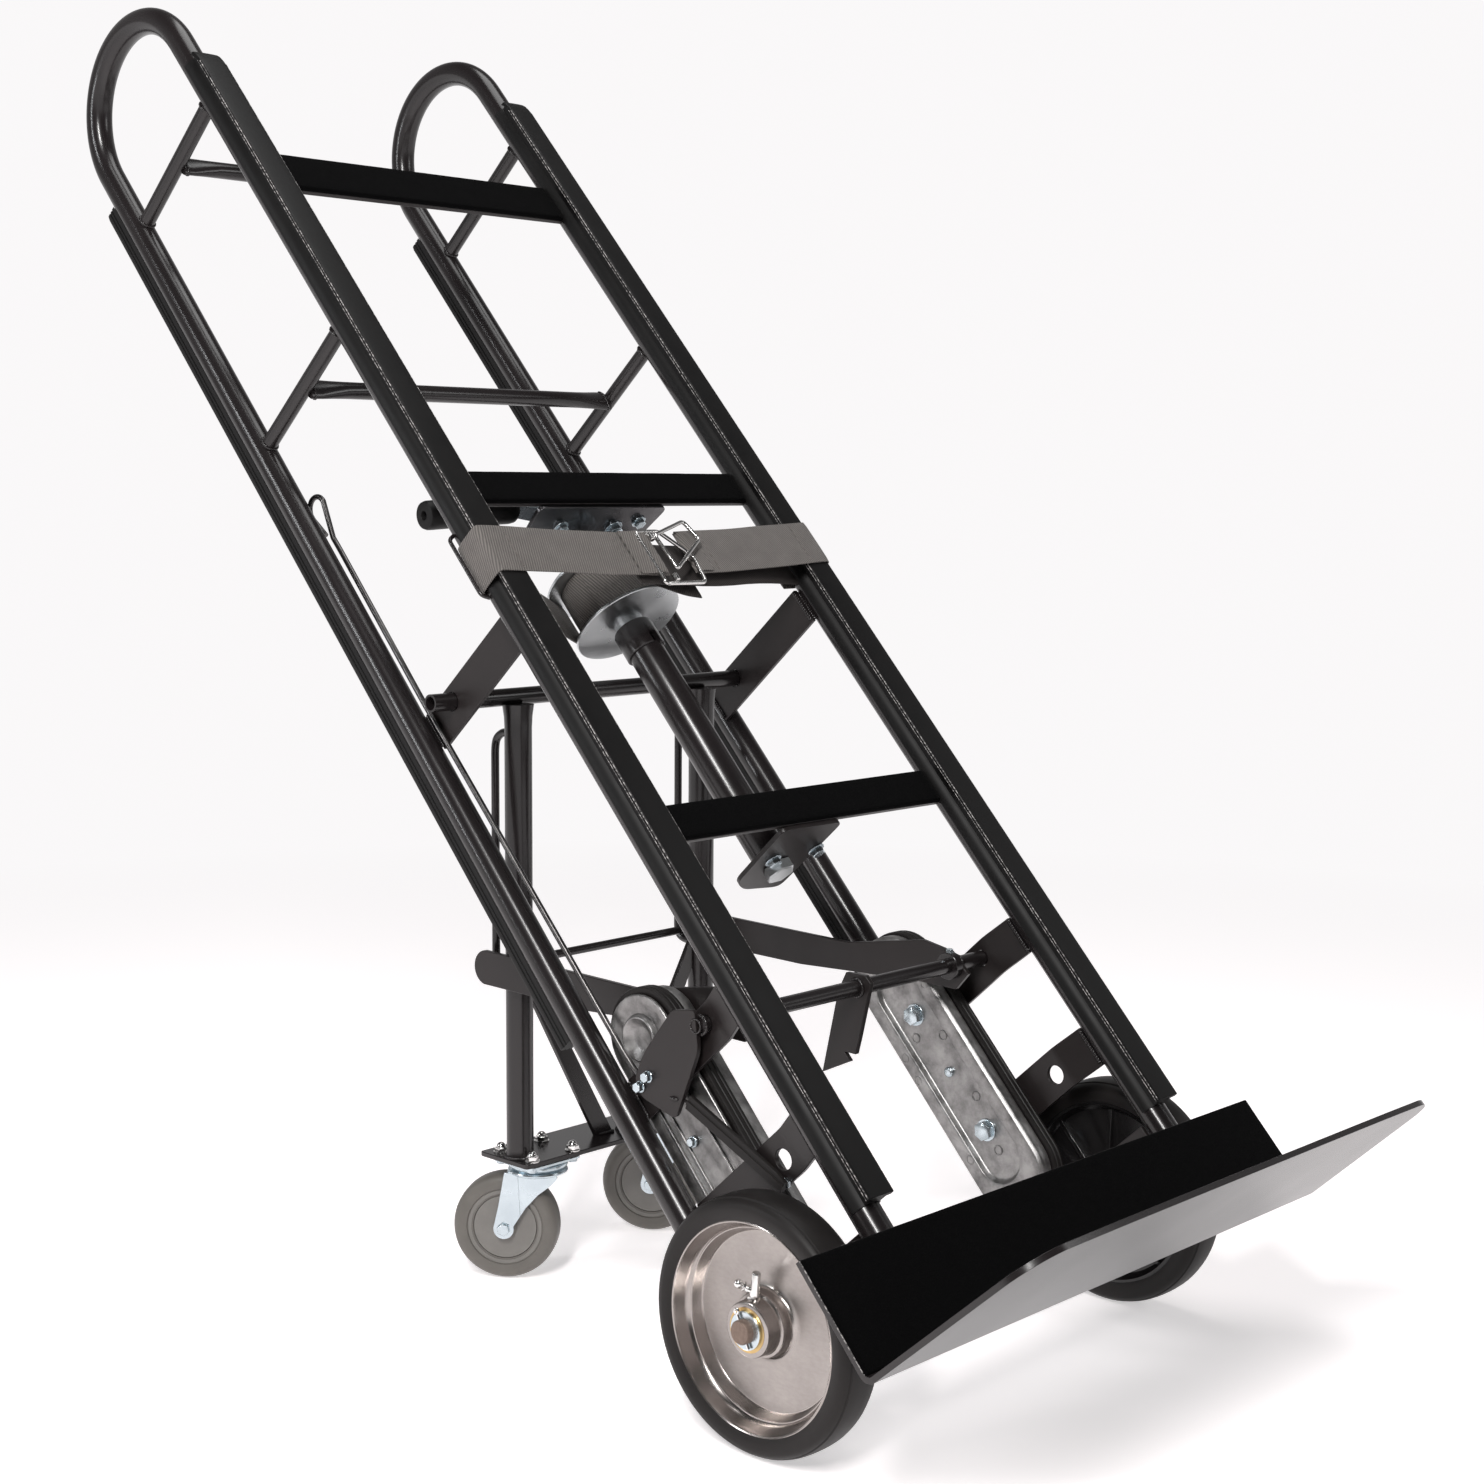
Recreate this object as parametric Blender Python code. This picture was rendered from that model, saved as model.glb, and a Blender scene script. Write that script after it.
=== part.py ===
"""Four-wheel stair-climbing appliance trolley, leaning back on its rear caster carriage.

World frame: X across the trolley, -Y towards the load and the toe plate, +Z up, floor at Z = 0.
Sizes below are millimetres. Two sets of coordinates place the pieces:
  axle frame (x, y, z): y counts from the main axle, z from the floor;
  rail frame (x, s, n): s runs up along the leaning side tubes from the axle, n stands square
  to them, towards the load.
"Left" is -X and "right" is +X, as seen from the load side.
"""

import math

import bmesh
import bpy
from mathutils import Matrix, Vector

MM = 0.001
CLEAR = 0.3  # gap between touching pieces

# Stance
WHEEL_R = 101.6
AXLE_Y = -346.2
LEAN = math.radians(42.4)

# Side tubes
TUBE_R = 12.7
TUBE_X = 194.0
FRONT_N = 108.5
REAR_N = -65.2
LOOP_S = 1329.0
FRONT_FOOT_S = -70.0
REAR_FOOT_S = -15.0

# Cross members
BRACE_S = (1253.0, 955.0)
STRUT_R = 7.5
CROSSBAR_N = 22.0
CROSSBAR_R = 8.0
SLATS = {"upper": (1131.0, 1177.0), "middle": (736.0, 772.0), "lower": (367.0, 402.0)}
SLAT_X = 180.8
SLAT_N = (103.5, 108.0)
FELT_T = 4.7

# Flat bars between front and rear rail
BAR_X = (179.0, 183.5)
BAR_N = (-57.0, 100.0)
BAR_SPANS = {"side_bar": (592.0, 630.0), "upper_bracket": (205.0, 243.0), "lower_bracket": (84.0, 123.0)}
AXLE_BAR_S = (-19.0, 19.0)
LOWER_HOLE = (102.0, 52.0, 8.5)  # s, n, radius

# Toe
TOE_X = 300.0
TOE_TOP_S = 3.0
TOE_S = -92.0
TOE_T = 4.8
TOE_BACK_N = FRONT_N + TUBE_R + CLEAR
TOE_FRONT_N = 301.0
TOE_FRONT_X = 286.0
TOE_CORNER_R = 42.0

# Wheels
AXLE_R = 9.5
AXLE_END_X = 265.0
WHEEL_X = 236.0
TYRE_HALF = 20.0
RIM_R = 83.0

# Climbers
GUIDE_X = (143.0, 178.0)
GUIDE_N = -25.0
GUIDE_S = (55.0, 263.0)
GUIDE_HALF = 40.0
PULLEY_R = 31.5
BELT_OUTER = 42.5

# Latch
SHAFT = (115.7, 306.0)  # axle-frame y, z
SHAFT_R = 7.0
LINK_X = (136.5, 141.5)
CROSS_ROD = (436.0, 297.0)
CROSS_ROD_R = 4.0

# Caster carriage
PIVOT = (430.0, 543.8)
PIVOT_R = 8.0
PIVOT_END_X = 208.0
LEG_X = 118.4
LEG_Y = 416.0
LEG_R = 12.5
GUIDE_ROD_Y = 448.0
PLATE_Z = (115.5, 120.0)
PLATE_Y = (389.0, 455.0)
PLATE_X = 134.0
SWIVEL = (95.0, 418.0)
TRAIL = (-17.5, 23.0)
CASTER_R = 49.5

# Ratchet and webbing
REEL_N = 49.0
REEL_TUBE_R = 17.0
UPPER_PLATE_S = (731.5, 735.7)
LOWER_PLATE_S = (362.4, 366.7)
FLANGE_S = (640.0, 697.5)
ROLL_R = 45.0
WEB_T = 1.8
WEB_W = 50.0
WEB_N = 133.6
BUCKLE_N = 138.0


# ---------------------------------------------------------------- places

def at(x, y, z):
    """A point from axle-frame millimetres."""
    return Vector((x, y + AXLE_Y, z)) * MM


def on_rail(x, s, n):
    """A point from rail-frame millimetres."""
    y = s * math.sin(LEAN) - n * math.cos(LEAN)
    z = WHEEL_R + s * math.cos(LEAN) + n * math.sin(LEAN)
    return at(x, y, z)


def rail_of(y, z):
    """(s, n) of an axle-frame (y, z)."""
    up = z - WHEEL_R
    return y * math.sin(LEAN) + up * math.cos(LEAN), up * math.sin(LEAN) - y * math.cos(LEAN)


UP_RAIL = Vector((0, math.sin(LEAN), math.cos(LEAN)))
TO_LOAD = Vector((0, -math.cos(LEAN), math.sin(LEAN)))
SIDES = {"left": -1, "right": 1}


def arc(centre, radius, start_deg, end_deg, steps):
    """2-D points on an arc, ends included."""
    points = []
    for i in range(steps + 1):
        a = math.radians(start_deg + (end_deg - start_deg) * i / steps)
        points.append((centre[0] + radius * math.cos(a), centre[1] + radius * math.sin(a)))
    return points


def stadium(ends, middle, half, steps=10):
    """2-D outline of a slot along its first coordinate, with round ends."""
    return arc((ends[1], middle), half, -90, 90, steps) + arc((ends[0], middle), half, 90, 270, steps)


# ---------------------------------------------------------------- materials

def principled(name, colour, roughness, metallic=0.0):
    material = bpy.data.materials.new(name)
    material.use_nodes = True
    shader = material.node_tree.nodes["Principled BSDF"]
    shader.inputs["Base Color"].default_value = (*colour, 1)
    shader.inputs["Roughness"].default_value = roughness
    shader.inputs["Metallic"].default_value = metallic
    material.diffuse_color = (*colour, 1)
    return material


def make_materials():
    return {
        "black_paint": principled("black_paint", (0.02, 0.019, 0.02), 0.3),
        "black_plastic": principled("black_plastic", (0.022, 0.022, 0.023), 0.5),
        "felt": principled("felt", (0.008, 0.008, 0.009), 0.95),
        "webbing": principled("webbing", (0.2, 0.185, 0.17), 0.8),
        "zinc": principled("zinc", (0.7, 0.72, 0.74), 0.28, 1.0),
        "cast_aluminium": principled("cast_aluminium", (0.5, 0.49, 0.48), 0.5, 1.0),
        "polished_aluminium": principled("polished_aluminium", (0.75, 0.74, 0.73), 0.25, 1.0),
        "rubber": principled("rubber", (0.02, 0.02, 0.02), 0.6),
        "grey_tread": principled("grey_tread", (0.16, 0.16, 0.15), 0.6),
    }


# ---------------------------------------------------------------- shapes

def add_object(name, mesh_builder, material, smooth=30):
    """One object from a bmesh, outward normals, flat faces kept crisp."""
    bmesh.ops.recalc_face_normals(mesh_builder, faces=mesh_builder.faces)
    mesh = bpy.data.meshes.new(name)
    mesh_builder.to_mesh(mesh)
    mesh_builder.free()
    mesh.materials.append(material)
    mesh.shade_smooth()
    mesh.set_sharp_from_angle(angle=math.radians(smooth))
    obj = bpy.data.objects.new(name, mesh)
    bpy.context.scene.collection.objects.link(obj)
    return obj


def loft(rings, closed=False):
    """A solid through equal rings of points, its two ends capped unless it closes on itself."""
    bm = bmesh.new()
    loops = [[bm.verts.new(point) for point in ring] for ring in rings]
    count = len(rings[0])
    pairs = list(zip(loops, loops[1:]))
    if closed:
        pairs.append((loops[-1], loops[0]))
    for lower, upper in pairs:
        for i in range(count):
            j = (i + 1) % count
            bm.faces.new((lower[i], lower[j], upper[j], upper[i]))
    if not closed:
        bm.faces.new(reversed(loops[0]))
        bm.faces.new(loops[-1])
    return bm


def prism(outline, thickness):
    """A flat outline of points, thickened by a vector."""
    return loft([outline, [point + thickness for point in outline]])


def sweep(path, radius, sides=16, closed=False):
    """A round bar along a path of points, with mitred corners."""
    count = len(path)
    tangents = []
    for i in range(count):
        before = path[i - 1] if (i or closed) else path[0]
        after = path[(i + 1) % count] if (i < count - 1 or closed) else path[-1]
        incoming = (path[i] - before).normalized() if before != path[i] else None
        outgoing = (after - path[i]).normalized() if after != path[i] else None
        tangents.append(((incoming or outgoing) + (outgoing or incoming)).normalized())
    side = tangents[0].orthogonal().normalized()
    rings = []
    for point, tangent in zip(path, tangents):
        side = (side - tangent * side.dot(tangent)).normalized()
        other = tangent.cross(side)
        ring = []
        for k in range(sides):
            a = 2 * math.pi * k / sides
            ring.append(point + (side * math.cos(a) + other * math.sin(a)) * radius * MM)
        rings.append(ring)
    return loft(rings, closed)


def rod(start, end, radius, sides=16):
    return sweep([start, end], radius, sides)


def turned(profile, centre, axis, steps):
    """A closed ring profile of (radius, height) pairs turned about an axis."""
    axis = axis.normalized()
    across = axis.orthogonal().normalized()
    if abs(axis.z) < 0.9:
        across = (Vector((0, 0, -1)) + axis * axis.z).normalized()
    third = axis.cross(across)
    rings = []
    for k in range(steps):
        a = 2 * math.pi * k / steps
        out = across * math.cos(a) + third * math.sin(a)
        rings.append([centre + (out * r + axis * h) * MM for r, h in profile])
    return loft(rings, closed=True)


def combine(target, other, operation):
    """Applies one Boolean to the target and drops the other object."""
    modifier = target.modifiers.new("combine", "BOOLEAN")
    modifier.operation = operation
    modifier.object = other
    graph = bpy.context.evaluated_depsgraph_get()
    mesh = bpy.data.meshes.new_from_object(target.evaluated_get(graph))
    target.modifiers.clear()
    target.data = mesh
    mesh.shade_smooth()
    mesh.set_sharp_from_angle(angle=math.radians(30))
    bpy.data.objects.remove(other)


def join(name, parts, material, holes=()):
    """One solid: the union of several shapes, less some holes."""
    obj = add_object(name, parts[0], material)
    for part in parts[1:]:
        combine(obj, add_object("piece", part, material), "UNION")
    for hole in holes:
        combine(obj, add_object("hole", hole, material), "DIFFERENCE")
    return obj


def block(x, s, n):
    """A box in the rail frame, each side a (low, high) pair."""
    outline = [on_rail(x[0], s[a], n[b]) for a, b in ((0, 0), (1, 0), (1, 1), (0, 1))]
    return prism(outline, Vector((x[1] - x[0], 0, 0)) * MM)


def cross_hole(s, n, radius, x):
    """A cutter along X at a rail-frame place."""
    return rod(on_rail(x[0] - 5, s, n), on_rail(x[1] + 5, s, n), radius, 20)


def span(side, low_high):
    """An x range mirrored to its side, low end first."""
    ends = sorted(side * value for value in low_high)
    return ends[0], ends[1]


# ---------------------------------------------------------------- frame

def side_tube(name, side, material):
    """One tube bent into the front rail, the hand loop and the rear rail."""
    x = side * TUBE_X
    radius = (FRONT_N - REAR_N) / 2
    middle = (FRONT_N + REAR_N) / 2
    path = [on_rail(x, FRONT_FOOT_S, FRONT_N)]
    path += [on_rail(x, s, n) for s, n in arc((LOOP_S, middle), radius, 90, -90, 16)]
    path.append(on_rail(x, REAR_FOOT_S, REAR_N))
    return add_object(name, sweep(path, TUBE_R), material)


def handle_brace(name, s, material):
    """Two struts inside the side tubes and the bar across between them."""
    ends = (REAR_N + TUBE_R + CLEAR, FRONT_N - TUBE_R - CLEAR)
    shapes = [rod(on_rail(-TUBE_X, s, CROSSBAR_N), on_rail(TUBE_X, s, CROSSBAR_N), CROSSBAR_R)]
    for side in SIDES.values():
        x = side * TUBE_X
        shapes.append(rod(on_rail(x, s, ends[0]), on_rail(x, s, ends[1]), STRUT_R))
    return join(name, shapes, material)


def slat(name, spans, material):
    return add_object(name, block((-SLAT_X, SLAT_X), spans, SLAT_N), material)


def slat_felt(name, spans, material):
    n = SLAT_N[1] + CLEAR
    x = TUBE_X - TUBE_R - 3
    return add_object(name, block((-x, x), (spans[0] + 0.3, spans[1] - 0.3), (n, n + FELT_T)), material)


def strip_section(half, inner_half_angle, outer_n, edge_n, chamfer):
    """(x, n) outline of a plastic strip hollowed to sit on a tube centred at the origin."""
    seat = arc((0, 0), TUBE_R + CLEAR, 90 - inner_half_angle, 90 + inner_half_angle, 8)
    outer = [(-half, edge_n), (-half, outer_n - chamfer), (-half + chamfer, outer_n)]
    outer += [(half - chamfer, outer_n), (half, outer_n - chamfer), (half, edge_n)]
    return seat + outer


def load_strip(name, side, material):
    """Clip-on runner on the front rail, tapered at its top."""
    rings = []
    for s, height in ((27, 23.5), (1273, 23.5), (1292, 16.5)):
        section = strip_section(14.75, 90, height, 0, 2)
        rings.append([on_rail(side * (TUBE_X + x), s, FRONT_N + n) for x, n in section])
    return add_object(name, loft(rings), material)


def skid_strip(name, side, material):
    """Narrow runner on the back of the rear rail, which slides on stair edges."""
    reach = math.degrees(math.asin(10.0 / (TUBE_R + CLEAR)))
    edge = math.sqrt((TUBE_R + CLEAR) ** 2 - 10.0**2) + 1
    rings = []
    for s in (297, 1296):
        section = strip_section(10.0, reach, 24.5, edge, 2)
        rings.append([on_rail(side * (TUBE_X + x), s, REAR_N - n) for x, n in section])
    return add_object(name, loft(rings), material)


def flat_bar(name, side, s_span, material, holes=()):
    x = span(side, BAR_X)
    cutters = [cross_hole(s, n, radius, x) for s, n, radius in holes]
    return join(name, [block(x, s_span, BAR_N)], material, cutters)


def toe_plate(material):
    """Upright back and the tapering toe bent forward from its lower edge."""
    back = block((-TOE_X, TOE_X), (TOE_S - TOE_T, TOE_TOP_S), (TOE_BACK_N, TOE_BACK_N + TOE_T))
    corner = (TOE_FRONT_X - TOE_CORNER_R, TOE_FRONT_N - 2 - TOE_CORNER_R)
    right = [(TOE_X, TOE_BACK_N)] + arc(corner, TOE_CORNER_R, 5, 86, 7) + [(130, TOE_FRONT_N - 0.5)]
    left = [(-x, n) for x, n in reversed(right)]
    outline = [on_rail(x, TOE_S - TOE_T, n) for x, n in right + left]
    return join("toe_plate", [back, prism(outline, UP_RAIL * TOE_T * MM)], material)


def toe_felt(material):
    n = TOE_BACK_N + TOE_T + CLEAR
    x = TOE_X - 1
    return add_object("toe_felt", block((-x, x), (TOE_S + 2.5, TOE_TOP_S - 0.5), (n, n + 2.2)), material)


def axle(material):
    """Dead axle with its two hanger bars and the wheel spacers."""
    centre = at(0, 0, WHEEL_R)
    end = Vector((AXLE_END_X * MM, 0, 0))
    shapes = [rod(centre - end, centre + end, AXLE_R, 20)]
    for side in SIDES.values():
        shapes.append(block(span(side, BAR_X), AXLE_BAR_S, BAR_N))
        inner = centre + Vector((side * 183 * MM, 0, 0))
        outer = centre + Vector((side * 212 * MM, 0, 0))
        shapes.append(rod(inner, outer, 14, 20))
    return join("axle", shapes, material)


# ---------------------------------------------------------------- wheels and climbers

def wheel_tyre(name, side, material):
    inner = RIM_R + CLEAR
    profile = [(inner, -18), (WHEEL_R - 6, -TYRE_HALF), (WHEEL_R - 1.5, -14), (WHEEL_R, -6)]
    profile += [(r, -h) for r, h in reversed(profile)]
    return add_object(name, turned(profile, at(side * WHEEL_X, 0, WHEEL_R), Vector((side, 0, 0)), 44), material)


def wheel_hub(name, side, material):
    """Dished disc with a rolled rim and a long boss, open on the axle."""
    bore = AXLE_R + CLEAR
    profile = [(bore, -22), (20, -22), (22, -6), (74, -6), (77, -18), (RIM_R, -18)]
    profile += [(RIM_R, 18), (78, 17), (74, 8), (62, 2), (24, 4), (21, 20), (bore, 20)]
    return add_object(name, turned(profile, at(side * WHEEL_X, 0, WHEEL_R), Vector((side, 0, 0)), 44), material)


def slot_plate(side, x, ends, half, steps=10):
    """A round-ended plate square to X, in line with the rails."""
    near, far = span(side, x)
    outline = [on_rail(near, s, n) for s, n in stadium(ends, GUIDE_N, half, steps)]
    return prism(outline, Vector((far - near, 0, 0)) * MM)


def climber_guide(name, side, material):
    """Casting that carries the belt: two cheeks, the block between them and the pulley pins."""
    shapes = [slot_plate(side, (GUIDE_X[0], 157), GUIDE_S, GUIDE_HALF, 14)]
    shapes.append(slot_plate(side, (174.3, GUIDE_X[1]), GUIDE_S, 37, 12))
    shapes.append(block(span(side, (156, 175)), (92, 226), (GUIDE_N - 27, GUIDE_N + 27)))
    for s in GUIDE_S:
        shapes.append(rod(on_rail(side * 156, s, GUIDE_N), on_rail(side * 175, s, GUIDE_N), 6))
    channel = slot_plate(side, (GUIDE_X[0] - 5, GUIDE_X[0] + 6), (68, 250), 22)
    dish = rod(on_rail(side * 175.6, GUIDE_S[1], GUIDE_N), on_rail(side * 185, GUIDE_S[1], GUIDE_N), 15)
    return join(name, shapes, material, [channel, dish])


def climber_pulley(name, side, s, material):
    profile = [(6.4, -7.4), (PULLEY_R, -7.4), (PULLEY_R - 2, 0), (PULLEY_R, 7.4), (6.4, 7.4)]
    return add_object(name, turned(profile, on_rail(side * 165.6, s, GUIDE_N), Vector((side, 0, 0)), 24), material)


def climber_belt(name, side, material):
    """Endless V-belt lying round both pulleys, proud of the casting's edge."""
    outer = stadium(GUIDE_S, GUIDE_N, BELT_OUTER, 14)
    inner = stadium(GUIDE_S, GUIDE_N, PULLEY_R + 0.6, 14)
    rings = []
    for (so, no), (si, ni) in zip(outer, inner):
        ring = [on_rail(side * 158, so, no), on_rail(side * 173.4, so, no)]
        ring += [on_rail(side * 171, si, ni), on_rail(side * 160.4, si, ni)]
        rings.append(ring)
    return add_object(name, loft(rings, closed=True), material)


# ---------------------------------------------------------------- latch

def plate_yz(x, outline):
    """A plate square to X from an axle-frame (y, z) outline."""
    return prism([at(x[0], y, z) for y, z in outline], Vector((x[1] - x[0], 0, 0)) * MM)


def shaft_hole():
    return rod(at(-260, *SHAFT), at(260, *SHAFT), SHAFT_R + CLEAR, 20)


def latch_shaft(material):
    """Cross shaft with the middle hook that catches on a stair edge."""
    hook = [(128, 318), (106, 318), (100, 312), (112, 262), (116, 247), (129, 247.5), (122, 240), (154, 225)]
    hook.append((137, 300))
    shapes = [rod(at(-190.2, *SHAFT), at(186, *SHAFT), SHAFT_R), plate_yz((3, 8), hook)]
    return join("latch_shaft", shapes, material)


def link_bar(name, side, material):
    """Strut that holds the carriage leg, deep at the shaft and round at its rear end."""
    rear = arc(CROSS_ROD, 16, 80, -80, 8)
    outline = rear + [(420, 281), (300, 279), (160, 285), (112, 284), (98, 300), (118, 318), (150, 324), (240, 309)]
    bar = plate_yz(span(side, LINK_X), outline)
    collar = plate_yz(span(side, (LINK_X[0] - 9, LINK_X[0] + 1)), [(103, 294), (128, 294), (128, 318), (103, 318)])
    return join(name, [bar, collar], material, [shaft_hole()])


def latch_lever(material):
    outline = [(117, 319), (143, 315), (175, 274), (186, 250), (178, 236), (138, 225), (130, 244), (113, 286)]
    return add_object("latch_lever", plate_yz((-195, -190.5), outline), material)


def cross_rod(material):
    x = LINK_X[0] - CLEAR
    return add_object("cross_rod", rod(at(-x, *CROSS_ROD), at(x, *CROSS_ROD), CROSS_ROD_R, 12), material)


def pull_rod(material):
    """Release wire up the inside of the left rear rail, bent into a finger loop at its top."""
    wire_x = -187.2
    route = [(wire_x, 228, -33), (wire_x, 240, -39.5), (wire_x, 262, -41), (wire_x, 640, -47)]
    route += [(-176.2, 825, -57), (-175.5, 842, -58)]
    path = [on_rail(*point) for point in route]
    path += [on_rail(-175.5, s, n) for s, n in arc((877, -58), 12, 90, -100, 10)]
    path.append(on_rail(-175.5, 851, -65))
    return add_object("pull_rod", sweep(path, 2.75, 8), material)


def tension_strap(material):
    """Rubber strap from the lever's tip down to the lower bracket."""
    start, end = (189, -1), (83, 44)
    along = Vector((end[0] - start[0], end[1] - start[1])).normalized()
    square = Vector((-along.y, along.x)) * 6.5
    corners = [Vector(start) - square, Vector(end) - square, Vector(end) + square, Vector(start) + square]
    outline = [on_rail(-193, s, n) for s, n in corners]
    return add_object("tension_strap", prism(outline, Vector((6, 0, 0)) * MM), material)


# ---------------------------------------------------------------- carriage

def pivot_tube(material):
    ends = at(-PIVOT_END_X, *PIVOT), at(PIVOT_END_X, *PIVOT)
    return add_object("pivot_tube", rod(*ends, PIVOT_R), material)


def leg(name, side, material):
    """Upright tube with the bent guide rod that makes the cross rod's slot."""
    x = side * LEG_X
    top = PIVOT[1] - PIVOT_R - CLEAR - 0.5
    upright = rod(at(x, LEG_Y, PLATE_Z[1] + CLEAR), at(x, LEG_Y, top), LEG_R)
    route = [(LEG_Y + 4, 513), (438, 511), (446, 505), (GUIDE_ROD_Y, 496)]
    route += [(GUIDE_ROD_Y, 297), (446, 290), (438, 286.5), (LEG_Y + 4, 286)]
    bent = sweep([at(x, y, z) for y, z in route], 3.75, 8)
    return join(name, [upright, bent], material)


def carriage_base(material):
    """Caster plate with the two flat braces that rise from its middle to the legs."""
    outline = [at(x, y, PLATE_Z[0]) for x, y in
               ((-PLATE_X, PLATE_Y[0]), (PLATE_X, PLATE_Y[0]), (PLATE_X, PLATE_Y[1]), (-PLATE_X, PLATE_Y[1]))]
    shapes = [prism(outline, Vector((0, 0, PLATE_Z[1] - PLATE_Z[0])) * MM)]
    for side in SIDES.values():
        brace = [(side * 2, 118), (side * 24, 118), (side * 105, 265), (side * 105, 297)]
        points = [at(x, LEG_Y - 2.5, z) for x, z in brace]
        shapes.append(prism(points, Vector((0, 5, 0)) * MM))
    return join("carriage_base", shapes, material)


def caster_frame(side):
    """Swivel point, trail direction, wheel axle direction and wheel centre of one caster."""
    swivel = Vector((side * SWIVEL[0], SWIVEL[1]))
    trail = Vector(TRAIL)
    back = trail.normalized()
    return swivel, back, Vector((-back.y, back.x)), swivel + trail


def caster_box(side, back, across, z_outline):
    """A cheek of the fork: outline of (along trail, z), thickened across."""
    swivel, along, sideways, _ = caster_frame(side)
    points = []
    for a, z in z_outline:
        place = swivel + along * a + sideways * back
        points.append(at(place.x, place.y, z))
    thick = sideways * (across - back)
    return prism(points, Vector((thick.x, thick.y, 0)) * MM)


def caster_fork(name, side, material):
    swivel, along, sideways, wheel = caster_frame(side)
    trail = Vector(TRAIL).length
    top = PLATE_Z[0] - CLEAR
    shapes = [rod(at(*swivel, 102), at(*swivel, top), 21, 20)]
    shapes.append(caster_box(side, -18.5, 18.5, [(-17, 101), (25, 101), (25, 105), (-17, 105)]))
    cheek = [(-17, 104), (trail - 9, 44), (trail, 39), (trail + 9, 46), (26, 104)]
    shapes.append(caster_box(side, 15.5, 18.5, cheek))
    shapes.append(caster_box(side, -18.5, -15.5, cheek))
    low, high = wheel - sideways * 21, wheel + sideways * 21
    shapes.append(rod(at(*low, CASTER_R), at(*high, CASTER_R), 4.5, 12))
    return join(name, shapes, material)


def caster_wheel(name, side, material):
    _, _, sideways, wheel = caster_frame(side)
    profile = [(4.8, -14.5), (12, -14.5), (13, -9), (36, -9), (38, -13), (45, -13), (CASTER_R, -9)]
    profile += [(r, -h) for r, h in reversed(profile)]
    axis = Vector((sideways.x, sideways.y, 0))
    return add_object(name, turned(profile, at(*wheel, CASTER_R), axis, 32), material)


# ---------------------------------------------------------------- ratchet and webbing

def along_reel(s):
    return on_rail(0, s, REEL_N)


def disc(s, radius, sides=28):
    return rod(along_reel(s[0]), along_reel(s[1]), radius, sides)


def ratchet_plate(name, s, outline, bore, material):
    points = [on_rail(x, s[0], n) for x, n in outline]
    hole = disc((s[0] - 5, s[1] + 5), bore, 16)
    return join(name, [prism(points, UP_RAIL * (s[1] - s[0]) * MM)], material, [hole])


def ratchet_reel(material):
    """Winding tube, its clutch collar, two flanges, the core and both journals."""
    shapes = [disc((372.5, 634), REEL_TUBE_R, 20), disc((633, 641), 13, 16)]
    shapes.append(disc((FLANGE_S[0], 643), 53))
    shapes.append(disc((642, 695), 14, 16))
    shapes.append(disc((694, FLANGE_S[1]), 56))
    shapes.append(disc((697, 748), 8, 16))
    shapes.append(disc((352, 373), 8, 16))
    shapes.append(disc((351, 361), 13, 6))
    return join("ratchet_reel", shapes, material)


def webbing_roll(material):
    profile = [(14.4, 0), (ROLL_R, 0), (ROLL_R, 50.4), (14.4, 50.4)]
    return add_object("webbing_roll", turned(profile, along_reel(643.3), UP_RAIL, 32), material)


def ratchet_lever(material):
    """Steel ring and crank on the reel's upper journal, with a round grip."""
    ring = turned([(8.4, 0), (20, 0), (20, 5.5), (8.4, 5.5)], along_reel(739.5), UP_RAIL, 24)
    crank = [(-14, 741, 40), (-14, 741, 60), (-52, 757, 76), (-52, 757, 58)]
    arm = prism([on_rail(*p) for p in crank], UP_RAIL * 4 * MM)
    tang = prism([on_rail(*p) for p in ((-50, 757, 58), (-50, 757, 76), (-86, 762, 76), (-86, 762, 62))],
                 UP_RAIL * 4 * MM)
    grip = rod(on_rail(-80, 764, 69.2), on_rail(-181, 764, 61), 13.3, 16)
    return join("ratchet_lever", [ring, arm, tang, grip], material)


def ribbon(points):
    """Webbing of its own width and thickness along (x, n, middle s) points."""
    rings = []
    for i, (x, n, s) in enumerate(points):
        before = Vector(points[max(i - 1, 0)][:2])
        after = Vector(points[min(i + 1, len(points) - 1)][:2])
        along = (after - before).normalized()
        square = Vector((-along.y, along.x)) * WEB_T / 2
        ring = []
        for sign, edge in ((1, 1), (-1, 1), (-1, -1), (1, -1)):
            ring.append(on_rail(x + sign * square.x, s + edge * WEB_W / 2, n + sign * square.y))
        rings.append(ring)
    return loft(rings)


def rail_wrap(side, s):
    """Webbing round the outside of one rail and its runner, from rear to front."""
    outer = TUBE_X + 14.75 + 1.5
    turn = arc((TUBE_X, FRONT_N), TUBE_R + 1.9, 270, 315, 3)
    points = [(side * x, n, s) for x, n in turn]
    points += [(side * outer, FRONT_N - 5, s), (side * outer, WEB_N - 4.5, s)]
    points += [(side * (outer - 1.2), WEB_N - 1.3, s), (side * (outer - 4.5), WEB_N, s)]
    return points


def strap_left(material):
    """Webbing from the roll, round the left rail and across to the buckle."""
    tangent = (-21.6, 7.6)
    points = [(*tangent, 668.5), (-100, 49.0, 668.5)] + rail_wrap(-1, 664.5)
    points += [(-150, WEB_N, 660), (-95, WEB_N, 655.5), (-17, WEB_N, 652)]
    return add_object("strap_left", ribbon(points), material)


def strap_right(material):
    """Webbing from under the buckle round the right rail."""
    points = rail_wrap(1, 662.5)
    points += [(150, WEB_N, 659), (90, WEB_N, 655), (21, WEB_N, 653)]
    tail = [(176, FRONT_N - TUBE_R - 1.9, 662.5)]
    return add_object("strap_right", ribbon(tail + points), material)


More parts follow.
